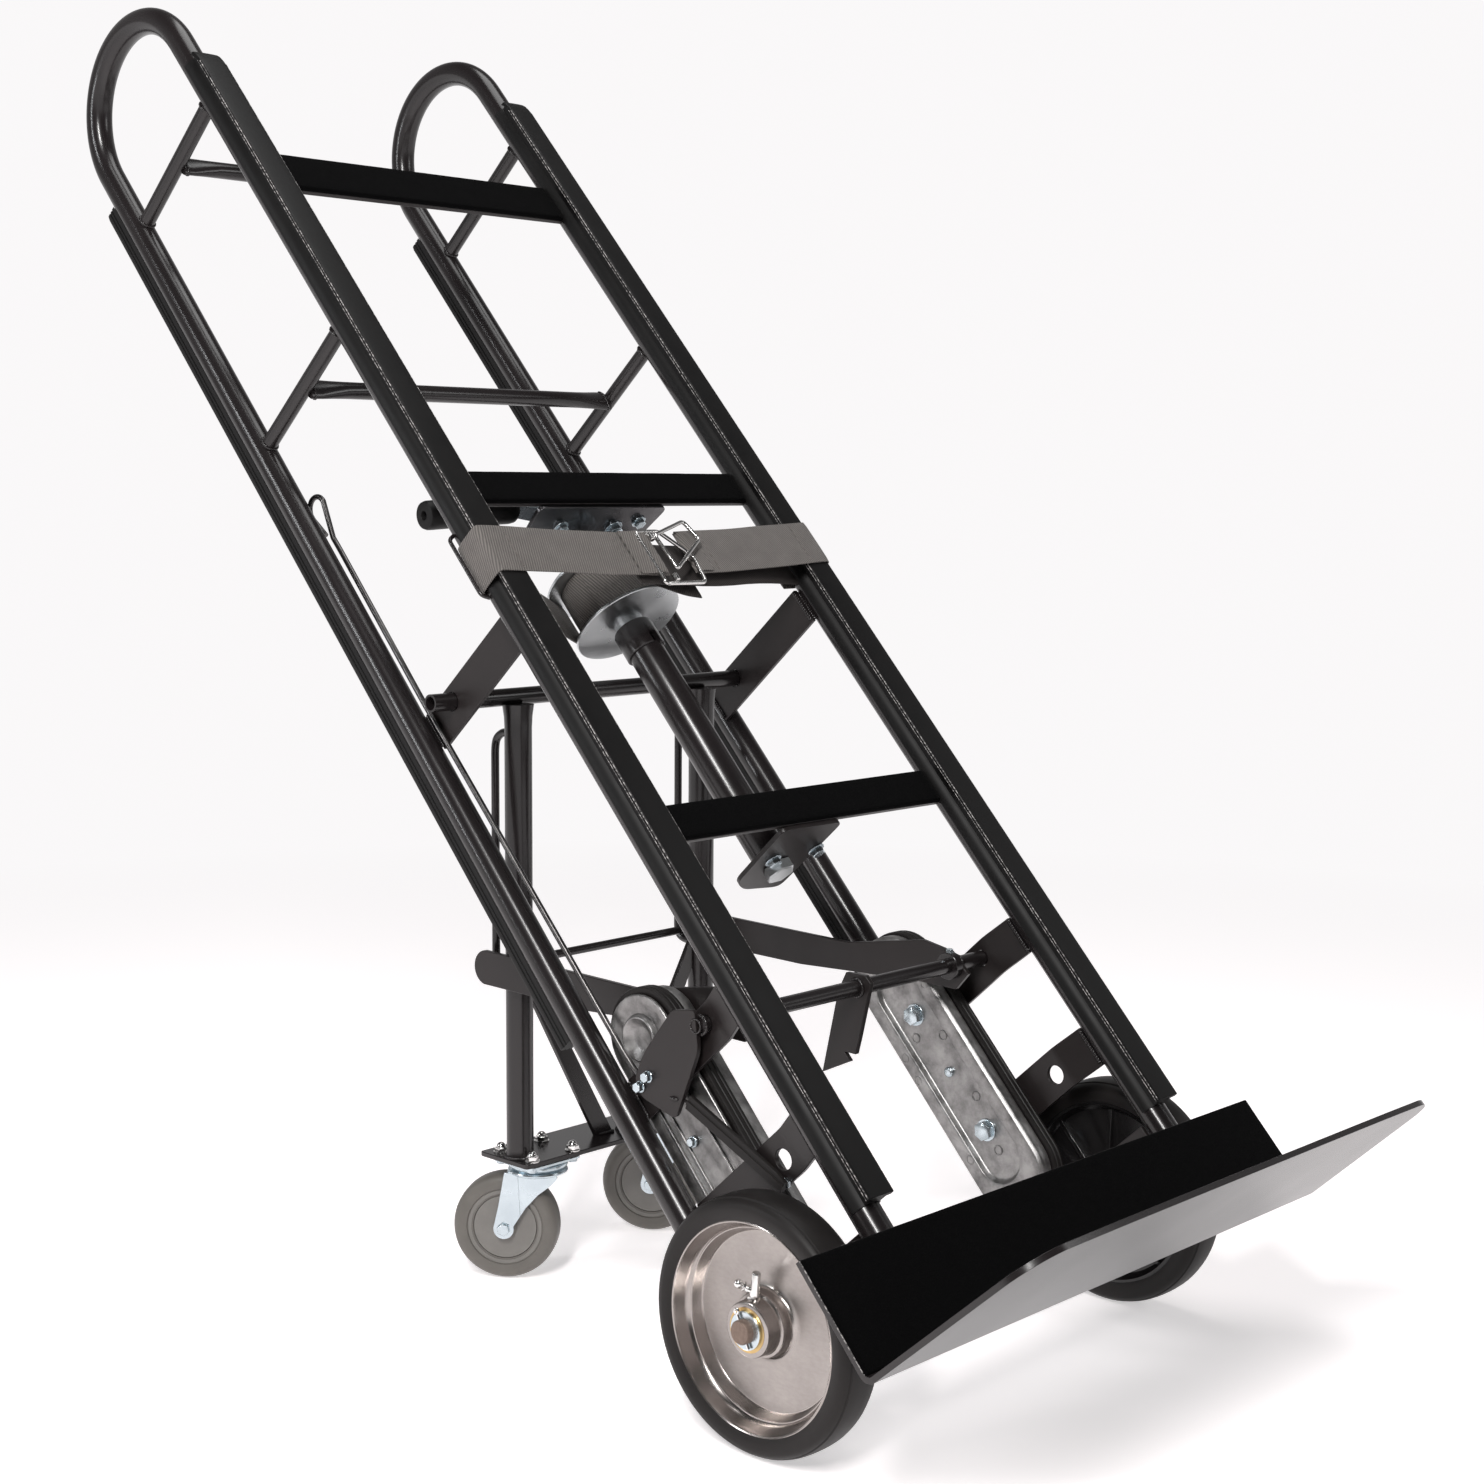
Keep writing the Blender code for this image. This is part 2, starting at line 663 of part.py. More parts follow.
def wire_ring(name, corners, n, material):
    """Closed ring of wire through (x, s) corners, each one rounded."""
    path = []
    count = len(corners)
    for i, corner in enumerate(corners):
        here = Vector(corner)
        for other in (corners[i - 1], corners[(i + 1) % count]):
            step = here + (Vector(other) - here).normalized() * 3.5
            path.append(on_rail(step.x, step.y, n))
    return add_object(name, sweep(path, 1.9, 8, closed=True), material)


# ---------------------------------------------------------------- assembly

def joint_empty(name, location):
    empty = bpy.data.objects.new(name, None)
    empty.location = location
    empty.empty_display_size = 0.03
    bpy.context.scene.collection.objects.link(empty)
    return empty


def hang(pieces, empty, parent=None):
    """Puts pieces on a joint's empty, and the empty on its parent joint's, without moving them."""
    if parent:
        empty.parent = parent
        empty.matrix_parent_inverse = Matrix.Translation(-parent.location)
    for piece in pieces:
        piece.parent = empty
        piece.matrix_parent_inverse = Matrix.Translation(-empty.location)


def build_frame(m):
    for word, side in SIDES.items():
        side_tube(f"side_tube_{word}", side, m["black_paint"])
        load_strip(f"load_strip_{word}", side, m["black_plastic"])
        skid_strip(f"skid_strip_{word}", side, m["black_plastic"])
    for word, s in zip(("upper", "lower"), BRACE_S):
        handle_brace(f"handle_brace_{word}", s, m["black_paint"])
    for word, spans in SLATS.items():
        slat(f"slat_{word}", spans, m["black_paint"])
        slat_felt(f"slat_felt_{word}", spans, m["felt"])
    holes = {
        "side_bar": (*rail_of(*PIVOT), PIVOT_R + CLEAR),
        "upper_bracket": (*rail_of(*SHAFT), SHAFT_R + CLEAR),
        "lower_bracket": LOWER_HOLE,
    }
    for bar, s_span in BAR_SPANS.items():
        for word, side in SIDES.items():
            flat_bar(f"{bar}_{word}", side, s_span, m["black_paint"], [holes[bar]])
    toe_plate(m["black_paint"])
    toe_felt(m["felt"])
    axle(m["zinc"])


def build_wheels(m):
    for word, side in SIDES.items():
        pieces = [wheel_hub(f"wheel_hub_{word}", side, m["polished_aluminium"])]
        pieces.append(wheel_tyre(f"wheel_tyre_{word}", side, m["rubber"]))
        hang(pieces, joint_empty(f"wheel_{word}_axis", at(side * WHEEL_X, 0, WHEEL_R)))


def build_climbers(m):
    for word, side in SIDES.items():
        climber_guide(f"climber_guide_{word}", side, m["cast_aluminium"])
        climber_belt(f"climber_belt_{word}", side, m["rubber"])
        for level, s in zip(("lower", "upper"), GUIDE_S):
            name = f"climber_pulley_{level}_{word}"
            pulley = climber_pulley(name, side, s, m["cast_aluminium"])
            hang([pulley], joint_empty(f"{name}_axis", on_rail(side * 165.6, s, GUIDE_N)))


def build_latch(m):
    pieces = [latch_shaft(m["black_paint"]), latch_lever(m["black_paint"])]
    for word, side in SIDES.items():
        pieces.append(link_bar(f"link_bar_{word}", side, m["black_paint"]))
    hang(pieces, joint_empty("latch_axis", at(0, *SHAFT)))
    hang([pull_rod(m["zinc"])], joint_empty("pull_rod_axis", on_rail(-187, 232, -35)))
    tension_strap(m["rubber"])


def build_carriage(m):
    carriage = joint_empty("carriage_axis", at(0, *PIVOT))
    pieces = [pivot_tube(m["black_paint"]), carriage_base(m["black_paint"])]
    for word, side in SIDES.items():
        pieces.append(leg(f"leg_{word}", side, m["black_paint"]))
    hang(pieces, carriage)
    hang([cross_rod(m["black_paint"])], joint_empty("cross_rod_axis", at(0, *CROSS_ROD)), carriage)
    for word, side in SIDES.items():
        swivel, _, _, wheel = caster_frame(side)
        fork = joint_empty(f"caster_swivel_{word}", at(*swivel, 108))
        hang([caster_fork(f"caster_fork_{word}", side, m["zinc"])], fork, carriage)
        spin = joint_empty(f"caster_axle_{word}", at(*wheel, CASTER_R))
        hang([caster_wheel(f"caster_wheel_{word}", side, m["grey_tread"])], spin, fork)


def build_ratchet(m):
    upper = [(-92, 107), (70, 107), (54, 20), (-78, 20)]
    lower = [(-37, 107), (41, 107), (39, 12), (33, 8), (-14, 14), (-33, 28)]
    ratchet_plate("ratchet_plate_upper", UPPER_PLATE_S, upper, 8.5, m["zinc"])
    ratchet_plate("ratchet_plate_lower", LOWER_PLATE_S, lower, 8.5, m["black_paint"])
    hang([ratchet_reel(m["zinc"]), webbing_roll(m["webbing"])], joint_empty("reel_axis", along_reel(640)))
    hang([ratchet_lever(m["zinc"])], joint_empty("lever_axis", along_reel(742)))
    strap_left(m["webbing"])
    strap_right(m["webbing"])
    frame = [(-33, 675), (-33, 614), (17, 614), (21, 645), (-4, 675)]
    ring = [(-17, 667), (30, 683), (37, 661), (-14, 627)]
    wire_ring("buckle_frame", frame, BUCKLE_N, m["zinc"])
    tongue = wire_ring("buckle_ring", ring, BUCKLE_N + 4.4, m["zinc"])
    hang([tongue], joint_empty("buckle_axis", on_rail(-17, 650, BUCKLE_N + 4.4)))


def main():
    for obj in list(bpy.data.objects):
        bpy.data.objects.remove(obj)
    m = make_materials()
    build_frame(m)
    build_wheels(m)
    build_climbers(m)
    build_latch(m)
    build_carriage(m)
    build_ratchet(m)


main()
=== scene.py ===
import math

import bmesh
import bpy
from mathutils import Matrix, Vector, noise


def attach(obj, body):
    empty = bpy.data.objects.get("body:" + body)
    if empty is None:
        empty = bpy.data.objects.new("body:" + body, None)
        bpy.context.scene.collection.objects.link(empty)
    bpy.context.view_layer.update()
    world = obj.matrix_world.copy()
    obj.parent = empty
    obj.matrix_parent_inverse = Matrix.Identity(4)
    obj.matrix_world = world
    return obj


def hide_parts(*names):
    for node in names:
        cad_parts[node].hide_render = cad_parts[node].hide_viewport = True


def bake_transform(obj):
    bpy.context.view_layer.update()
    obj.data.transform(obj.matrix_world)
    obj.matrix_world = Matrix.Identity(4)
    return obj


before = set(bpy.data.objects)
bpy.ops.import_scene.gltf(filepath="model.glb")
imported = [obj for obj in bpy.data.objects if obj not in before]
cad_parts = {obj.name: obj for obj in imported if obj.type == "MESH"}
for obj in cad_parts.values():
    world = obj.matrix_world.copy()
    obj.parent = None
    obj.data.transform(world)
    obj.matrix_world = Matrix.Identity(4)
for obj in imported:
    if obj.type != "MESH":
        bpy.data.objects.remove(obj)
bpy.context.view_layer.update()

# Places and driving sizes repeat the CAD's, in millimetres.
MM = 0.001
WHEEL_R = 101.6
AXLE_Y = -346.2
LEAN = math.radians(42.4)
TUBE_R = 12.7
TUBE_X = 194.0
FRONT_N = 108.5
REAR_N = -65.2
LOOP_S = 1329.0
FRONT_FOOT_S = -70.0
REAR_FOOT_S = -15.0
BRACE_S = {"upper": 1253.0, "lower": 955.0}
STRUT_R = 7.5
CROSSBAR_N = 22.0
CROSSBAR_R = 8.0
SLATS = {"upper": (1131.0, 1177.0), "middle": (736.0, 772.0), "lower": (367.0, 402.0)}
SLAT_X = 180.8
SLAT_N = (103.5, 108.0)
FELT_T = 4.7
BAR_X = (179.0, 183.5)
BAR_N = (-57.0, 100.0)
BAR_SPANS = {"side_bar": (592.0, 630.0), "upper_bracket": (205.0, 243.0), "lower_bracket": (84.0, 123.0)}
TOE_X = 300.0
TOE_TOP_S = 3.0
TOE_S = -92.0
TOE_T = 4.8
TOE_BACK_N = FRONT_N + TUBE_R + 0.3
TOE_CORNER_R = 42.0
TOE_CORNER = (244.0, 257.0)
AXLE_R = 9.5
AXLE_END_X = 265.0
WHEEL_X = 236.0
RIM_R = 83.0
GUIDE_X = (143.0, 178.0)
GUIDE_N = -25.0
GUIDE_S = (55.0, 263.0)
PULLEY_R = 31.5
SHAFT = (115.7, 306.0)
SHAFT_R = 7.0
LINK_X = (136.5, 141.5)
CROSS_ROD = (436.0, 297.0)
PIVOT = (430.0, 543.8)
PIVOT_R = 8.0
PIVOT_END_X = 208.0
LEG_X = 118.4
LEG_Y = 416.0
LEG_R = 12.5
GUIDE_ROD_Y = 448.0
PLATE_Z = (115.5, 120.0)
PLATE_Y = (389.0, 455.0)
PLATE_X = 134.0
SWIVEL = (95.0, 418.0)
TRAIL = (-17.5, 23.0)
CASTER_R = 49.5
REEL_N = 49.0
REEL_TUBE_R = 17.0
UPPER_PLATE_S = (731.5, 735.7)
LOWER_PLATE_S = (362.4, 366.7)
ROLL_S = 668.5
ROLL_R = 44.6
WEB_T = 1.8
WEB_W = 50.0
WEB_N = 133.6
BUCKLE_N = 138.0
SIDES = {"left": -1, "right": 1}
SWEEP_WHITE = (0.955, 0.94, 0.945)
SHARP = math.radians(38)
PUDDLE = 2.6


# ---------------------------------------------------------------- places

def at(x, y, z):
    """A point from axle-frame millimetres."""
    return Vector((x, y + AXLE_Y, z)) * MM


def on_rail(x, s, n):
    """A point from rail-frame millimetres: s up the side tubes, n square to them."""
    y = s * math.sin(LEAN) - n * math.cos(LEAN)
    z = WHEEL_R + s * math.cos(LEAN) + n * math.sin(LEAN)
    return at(x, y, z)


def on_rails(points):
    return [on_rail(*point) for point in points]


def rail_of(y, z):
    """(s, n) of an axle-frame (y, z)."""
    up = z - WHEEL_R
    return y * math.sin(LEAN) + up * math.cos(LEAN), up * math.sin(LEAN) - y * math.cos(LEAN)


UP_RAIL = Vector((0, math.sin(LEAN), math.cos(LEAN)))
TO_LOAD = Vector((0, -math.cos(LEAN), math.sin(LEAN)))
ACROSS = Vector((1, 0, 0))
UPWARD = Vector((0, 0, 1))


def arc(centre, radius, start_deg, end_deg, steps):
    points = []
    for i in range(steps + 1):
        a = math.radians(start_deg + (end_deg - start_deg) * i / steps)
        points.append((centre[0] + radius * math.cos(a), centre[1] + radius * math.sin(a)))
    return points


def stadium(ends, middle, half, steps=16):
    """Outline of a slot along its first coordinate, with round ends."""
    return arc((ends[1], middle), half, -90, 90, steps) + arc((ends[0], middle), half, 90, 270, steps)


def soften(points, reach, steps=5, closed=False):
    """The same route with each corner turned into a curve that starts `reach` millimetres before it."""
    count = len(points)
    route = []
    for i, corner in enumerate(points):
        if not closed and i in (0, count - 1):
            route.append(corner)
            continue
        before, after = points[i - 1], points[(i + 1) % count]
        start = corner + (before - corner).normalized() * min(reach * MM, (before - corner).length * 0.45)
        end = corner + (after - corner).normalized() * min(reach * MM, (after - corner).length * 0.45)
        for k in range(steps + 1):
            t = k / steps
            route.append(start * (1 - t) ** 2 + corner * 2 * t * (1 - t) + end * t**2)
    return route


def fan(axis, steps, turn=0.0):
    """Unit directions square to an axis, evenly spaced round it."""
    side = axis.orthogonal().normalized()
    third = axis.normalized().cross(side)
    angles = [2 * math.pi * k / steps + turn for k in range(steps)]
    return [side * math.cos(a) + third * math.sin(a) for a in angles]


def circle(centre, normal, radius, steps=36):
    """Points of a ring round a place."""
    return [centre + out * radius * MM for out in fan(normal, steps)]


# ---------------------------------------------------------------- shapes

def loft(rings, closed=False):
    """A skin through equal rings of points, capped at both ends unless it closes on itself."""
    bm = bmesh.new()
    loops = [[bm.verts.new(point) for point in ring] for ring in rings]
    count = len(rings[0])
    pairs = list(zip(loops, loops[1:]))
    if closed:
        pairs.append((loops[-1], loops[0]))
    for lower, upper in pairs:
        for i in range(count):
            j = (i + 1) % count
            bm.faces.new((lower[i], lower[j], upper[j], upper[i]))
    if not closed:
        bm.faces.new(reversed(loops[0]))
        bm.faces.new(loops[-1])
    return bm


def prism(outline, thickness):
    return loft([outline, [point + thickness for point in outline]])


def sweep_rings(path, radii, sides, closed=False):
    """Rings round a path; radii holds one radius in millimetres for each point."""
    count = len(path)
    tangents = []
    for i in range(count):
        before = path[i - 1] if (i or closed) else path[0]
        after = path[(i + 1) % count] if (i < count - 1 or closed) else path[-1]
        incoming = (path[i] - before).normalized() if before != path[i] else None
        outgoing = (after - path[i]).normalized() if after != path[i] else None
        tangents.append(((incoming or outgoing) + (outgoing or incoming)).normalized())
    side = tangents[0].orthogonal().normalized()
    rings = []
    for point, tangent, radius in zip(path, tangents, radii):
        side = (side - tangent * side.dot(tangent)).normalized()
        other = tangent.cross(side)
        ring = []
        for k in range(sides):
            a = 2 * math.pi * k / sides
            ring.append(point + (side * math.cos(a) + other * math.sin(a)) * radius * MM)
        rings.append(ring)
    return rings


def sweep(path, radius, sides, closed=False):
    return loft(sweep_rings(path, [radius] * len(path), sides, closed), closed)


def rod(start, end, radius, sides=32):
    return sweep([start, end], radius, sides)


def pipe(path, radius, wall=2.0, depth=14.0, sides=40):
    """A tube along a path whose two ends show its wall and a dark bore."""
    rings = sweep_rings(path, [radius] * len(path), sides)
    ends = []
    for first, second in ((0, 1), (-1, -2)):
        inward = (path[second] - path[first]).normalized() * depth * MM
        lip = [path[first] + (p - path[first]) * (radius - wall) / radius for p in rings[first]]
        ends.append((lip, [p + inward for p in lip]))
    return loft([ends[0][1], ends[0][0], *rings, ends[1][0], ends[1][1]])


def bead(path, radius, closed=False):
    """A weld bead: a bar whose thickness ripples as the puddle was laid."""
    dense = []
    count = len(path)
    for i in range(count if closed else count - 1):
        start, end = path[i], path[(i + 1) % count]
        pieces = max(1, round((end - start).length / (0.65 * MM)))
        dense += [start.lerp(end, k / pieces) for k in range(pieces)]
    if not closed:
        dense.append(path[-1])
    radii = []
    travelled = 0.0
    for i, point in enumerate(dense):
        if i:
            travelled += (point - dense[i - 1]).length / MM
        ripple = abs(math.sin(math.pi * travelled / PUDDLE))
        radii.append(radius * (0.8 + 0.25 * ripple))
    if not closed:
        radii[0] = radii[-1] = radius * 0.35
    return loft(sweep_rings(dense, radii, 10, closed), closed)


def ring_weld(centre, axis, reach, radius):
    """A weld bead all the way round a bar."""
    return bead(circle(centre, axis, reach), radius, True)


def turned(profile, centre, axis, steps):
    """A closed ring profile of (radius, height) pairs turned about an axis."""
    axis = axis.normalized()
    rings = []
    for out in fan(axis, steps):
        rings.append([centre + (out * r + axis * h) * MM for r, h in profile])
    return loft(rings, closed=True)


def lathe(profile, centre, axis, steps=48):
    """A solid of revolution through (radius, height) pairs, capped at both ends."""
    axis = axis.normalized()
    rings = []
    for r, h in profile:
        rings.append([centre + (out * r + axis * h) * MM for out in fan(axis, steps)])
    return loft(rings)


def there_and_back(profile):
    """A (radius, height) profile carried on to its mirror image; a point at height 0 isn't repeated."""
    return profile + [(r, -h) for r, h in reversed(profile) if h]


def mirrored(section):
    """The other half of an (x, n) section, in the order that closes its outline."""
    return [(-x, n) for x, n in reversed(section)]


def block(x, s, n):
    """A box in the rail frame, each side a (low, high) pair."""
    outline = [on_rail(x[0], s[a], n[b]) for a, b in ((0, 0), (1, 0), (1, 1), (0, 1))]
    return prism(outline, Vector((x[1] - x[0], 0, 0)) * MM)


def fused(parts):
    """Several shapes in one mesh."""
    whole = bmesh.new()
    for part in parts:
        mesh = bpy.data.meshes.new("part")
        bmesh.ops.recalc_face_normals(part, faces=part.faces)
        part.to_mesh(mesh)
        part.free()
        whole.from_mesh(mesh)
        bpy.data.meshes.remove(mesh)
    return whole


def span(side, low_high):
    ends = sorted(side * value for value in low_high)
    return ends[0], ends[1]


def hexagon(centre, axis, flats, height, chamfer=0.6, turn=0.0):
    """A hexagonal head with its outer corners taken off."""
    axis = axis.normalized()
    radius = flats / math.sqrt(3)
    rings = []
    for scale, h in ((1, 0), (1, height - chamfer), (0.88, height)):
        rings.append([centre + (out * radius * scale + axis * h) * MM for out in fan(axis, 6, turn)])
    return loft(rings)


def bolt_head(centre, axis, flats, height, washer=0.0, turn=0.3):
    """A hex head on its washer face, and a washer under it if its radius is given."""
    axis = axis.normalized()
    if not washer:
        return [hexagon(centre, axis, flats, height, turn=turn)]
    disc = [(washer - 0.3, 0), (washer, 0.3), (washer, 1.3), (washer - 0.4, 1.7)]
    head = hexagon(centre + axis * 1.6 * MM, axis, flats, height, turn=turn)
    return [lathe(disc, centre, axis), head]


def acorn_nut(centre, axis, turn):
    """A domed cap nut on a small washer."""
    axis = axis.normalized()
    washer = lathe([(7.0, 0), (7.2, 0.3), (7.2, 1.0), (6.9, 1.3)], centre, axis)
    base = centre + axis * 1.2 * MM
    dome = lathe(arc((0, 3.8), 4.6, 0, 81, 9), base, axis, 28)
    return [washer, hexagon(base, axis, 10.5, 4.0, 0.5, turn), dome]


# ---------------------------------------------------------------- materials

EVEN = (1, 1, 1)


def shader_of(name, colour, roughness, metallic=0.0):
    material = bpy.data.materials.new(name)
    material.use_nodes = True
    shader = material.node_tree.nodes["Principled BSDF"]
    shader.inputs["Base Color"].default_value = (*colour, 1)
    shader.inputs["Roughness"].default_value = roughness
    shader.inputs["Metallic"].default_value = metallic
    return material, material.node_tree, shader


def mapped(tree, stretch=EVEN, turn=(0, 0, 0), shift=(0, 0, 0), attribute=None):
    """Object coordinates, or a named attribute's, stretched, turned and shifted."""
    if attribute:
        source = tree.nodes.new("ShaderNodeAttribute")
        source.attribute_name = attribute
        out = source.outputs["Vector"]
    else:
        out = tree.nodes.new("ShaderNodeTexCoord").outputs["Object"]
    mapping = tree.nodes.new("ShaderNodeMapping")
    mapping.inputs["Scale"].default_value = stretch
    mapping.inputs["Rotation"].default_value = turn
    mapping.inputs["Location"].default_value = shift
    tree.links.new(out, mapping.inputs["Vector"])
    return mapping.outputs["Vector"]


def noise_of(tree, vector, scale, detail, rough=0.55):
    node = tree.nodes.new("ShaderNodeTexNoise")
    node.inputs["Scale"].default_value = scale
    node.inputs["Detail"].default_value = detail
    node.inputs["Roughness"].default_value = rough
    tree.links.new(vector, node.inputs["Vector"])
    return node.outputs["Fac"]


def bands_of(tree, vector, scale, axis, distortion=0.0):
    node = tree.nodes.new("ShaderNodeTexWave")
    node.wave_type = "BANDS"
    node.bands_direction = axis
    node.inputs["Scale"].default_value = scale
    node.inputs["Distortion"].default_value = distortion
    node.inputs["Detail"].default_value = 1.0
    tree.links.new(vector, node.inputs["Vector"])
    return node.outputs["Fac"]


def between(tree, value, low, high):
    """Maps a 0 to 1 value onto a range."""
    node = tree.nodes.new("ShaderNodeMapRange")
    node.inputs["To Min"].default_value = low
    node.inputs["To Max"].default_value = high
    tree.links.new(value, node.inputs["Value"])
    return node.outputs["Result"]


def window(tree, value, low, high):
    """0 below low, 1 above high."""
    node = tree.nodes.new("ShaderNodeMapRange")
    node.inputs["From Min"].default_value = low
    node.inputs["From Max"].default_value = high
    tree.links.new(value, node.inputs["Value"])
    return node.outputs["Result"]


def math_of(tree, operation, a, b):
    node = tree.nodes.new("ShaderNodeMath")
    node.operation = operation
    for socket, value in zip(node.inputs, (a, b)):
        if isinstance(value, (int, float)):
            socket.default_value = value
        else:
            tree.links.new(value, socket)
    return node.outputs[0]


def blend_colours(tree, value, low, high):
    """A colour between two, by a value; either may be a colour already made."""
    node = tree.nodes.new("ShaderNodeMix")
    node.data_type = "RGBA"
    tree.links.new(value, node.inputs["Factor"])
    for socket, colour in ((node.inputs[6], low), (node.inputs[7], high)):
        if isinstance(colour, tuple):
            socket.default_value = (*colour, 1)
        else:
            tree.links.new(colour, socket)
    return node.outputs[2]


def bumped(tree, shader, height, strength, distance):
    """Adds a bump on top of any bump that the shader already has."""
    node = tree.nodes.new("ShaderNodeBump")
    node.inputs["Strength"].default_value = strength
    node.inputs["Distance"].default_value = distance
    tree.links.new(height, node.inputs["Height"])
    old = shader.inputs["Normal"]
    if old.is_linked:
        tree.links.new(old.links[0].from_socket, node.inputs["Normal"])
    tree.links.new(node.outputs["Normal"], shader.inputs["Normal"])


def colour_and_finish(tree, shader, value, low, high, rough):
    """Drives base colour and roughness with one value."""
    tree.links.new(blend_colours(tree, value, low, high), shader.inputs["Base Color"])
    tree.links.new(between(tree, value, *rough), shader.inputs["Roughness"])


def grain(tree, stretch, *noise_settings):
    """Noise in object coordinates stretched along the axes."""
    return noise_of(tree, mapped(tree, stretch), *noise_settings)


def clouded(name, plain, roughness, metallic, cloud, low, high, finish, specular=0.5, marks=None):
    """A look that wanders between two colours and two roughnesses, with fine marks in its surface."""
    material, tree, shader = shader_of(name, plain, roughness, metallic)
    colour_and_finish(tree, shader, grain(tree, *cloud), low, high, finish)
    shader.inputs["Specular IOR Level"].default_value = specular
    if marks:
        stretch, settings, strength, distance = marks
        bumped(tree, shader, grain(tree, stretch, *settings), strength, distance)
    return material


def black_plastic():
    """Extruded plastic: fine lengthwise draw lines and a dull skin."""
    material, tree, shader = shader_of("black_plastic", (0.012, 0.0115, 0.012), 0.4)
    turn = (-(math.pi / 2 - LEAN), 0, 0)
    lines = noise_of(tree, mapped(tree, (900, 900, 6), turn), 1.0, 2.0)
    skin = grain(tree, EVEN, 40.0, 4.0)
    colour_and_finish(tree, shader, skin, (0.003, 0.0029, 0.0031), (0.0066, 0.006, 0.0059), (0.42, 0.56))
    shader.inputs["Specular IOR Level"].default_value = 0.22
    bumped(tree, shader, lines, 0.03, 0.0001)
    return material


def painted_edge_glint():
    """Painted highlight for the runners' lips and the toe plate's edges: a pale look broken into bright
    specks, standing for the glint these edges catch.
    """
    material, tree, shader = shader_of("painted_edge_glint", (0.07, 0.065, 0.063), 0.4)
    painted_glint_specks = window(tree, grain(tree, EVEN, 420.0, 2.0), 0.45, 0.62)
    colour_and_finish(tree, shader, painted_glint_specks, (0.03, 0.028, 0.028), (0.42, 0.4, 0.39), (0.5, 0.3))
    return material


def felt():
    """Needled felt: jet black, matted fibres, a faint halo of loose ends."""
    material, tree, shader = shader_of("felt", (0.004, 0.004, 0.0045), 1.0)
    tufts = grain(tree, EVEN, 900.0, 6.0, 0.7)
    hairs = noise_of(tree, mapped(tree, (500, 1700, 1700), (0.3, 0.4, 0.5)), 1.0, 3.0)
    colour_and_finish(tree, shader, tufts, (0.0006, 0.0006, 0.0007), (0.0034, 0.0033, 0.0036), (0.9, 1.0))
    shader.inputs["Sheen Weight"].default_value = 0.015
    shader.inputs["Sheen Roughness"].default_value = 0.5
    shader.inputs["Specular IOR Level"].default_value = 0.02
    bumped(tree, shader, hairs, 0.6, 0.0008)
    bumped(tree, shader, tufts, 0.8, 0.0008)
    return material


def webbing():
    """Grey-taupe polyester: weft ribs on a slight slant, crossed by fine warp yarns."""
    material, tree, shader = shader_of("webbing", (0.23, 0.205, 0.19), 0.75)
    ribs = bands_of(tree, mapped(tree, turn=(0, 0, 0.3), attribute="weave"), 130.0, "X", 0.6)
    warp = bands_of(tree, mapped(tree, attribute="weave"), 330.0, "Y", 0.4)
    yarn = math_of(tree, "MULTIPLY", between(tree, ribs, 0.25, 1.0), between(tree, warp, 0.6, 1.0))
    wear = grain(tree, EVEN, 60.0, 5.0)
    shade = math_of(tree, "MULTIPLY", yarn, between(tree, wear, 0.65, 1.2))
    colour = blend_colours(tree, shade, (0.03, 0.027, 0.0255), (0.235, 0.213, 0.198))
    tree.links.new(colour, shader.inputs["Base Color"])
    shader.inputs["Sheen Weight"].default_value = 0.1
    shader.inputs["Sheen Roughness"].default_value = 0.4
    bumped(tree, shader, yarn, 0.7, 0.0009)
    return material


def webbing_painted_shade():
    """The tape's inner layer and its tail, darker than the face: painted shade for where they lie in shadow
    behind it.
    """
    material, tree, shader = shader_of("webbing_painted_shade", (0.02, 0.016, 0.015), 0.7)
    ribs = bands_of(tree, mapped(tree, turn=(0, 0, 0.3), attribute="weave"), 130.0, "X", 0.6)
    colour_and_finish(tree, shader, ribs, (0.012, 0.0098, 0.0095), (0.036, 0.029, 0.027), (0.55, 0.8))
    bumped(tree, shader, ribs, 0.6, 0.0008)
    return material


def thread():
    """Stitching yarn, paler than the webbing, twisted."""
    material, tree, shader = shader_of("thread", (0.3, 0.27, 0.25), 0.6)
    twist = bands_of(tree, mapped(tree, turn=(0.5, 0.4, 0.7)), 900.0, "DIAGONAL")
    colour_and_finish(tree, shader, twist, (0.08, 0.07, 0.066), (0.22, 0.195, 0.18), (0.5, 0.7))
    bumped(tree, shader, twist, 0.5, 0.0002)
    return material


def cast_aluminium():
    """Die casting: dull grey skin, flow marks and small pits."""
    material, tree, shader = shader_of("cast_aluminium", (0.32, 0.315, 0.31), 0.5, 0.9)
    flow = noise_of(tree, mapped(tree, EVEN, (0.2, 0.3, 0.1)), 55.0, 7.0, 0.65)
    grit = grain(tree, EVEN, 650.0, 4.0, 0.6)
    mottle = window(tree, flow, 0.32, 0.68)
    colour_and_finish(tree, shader, mottle, (0.16, 0.156, 0.155), (0.43, 0.42, 0.415), (0.3, 0.48))
    bumped(tree, shader, flow, 0.16, 0.0008)
    bumped(tree, shader, grit, 0.4, 0.0004)
    return material


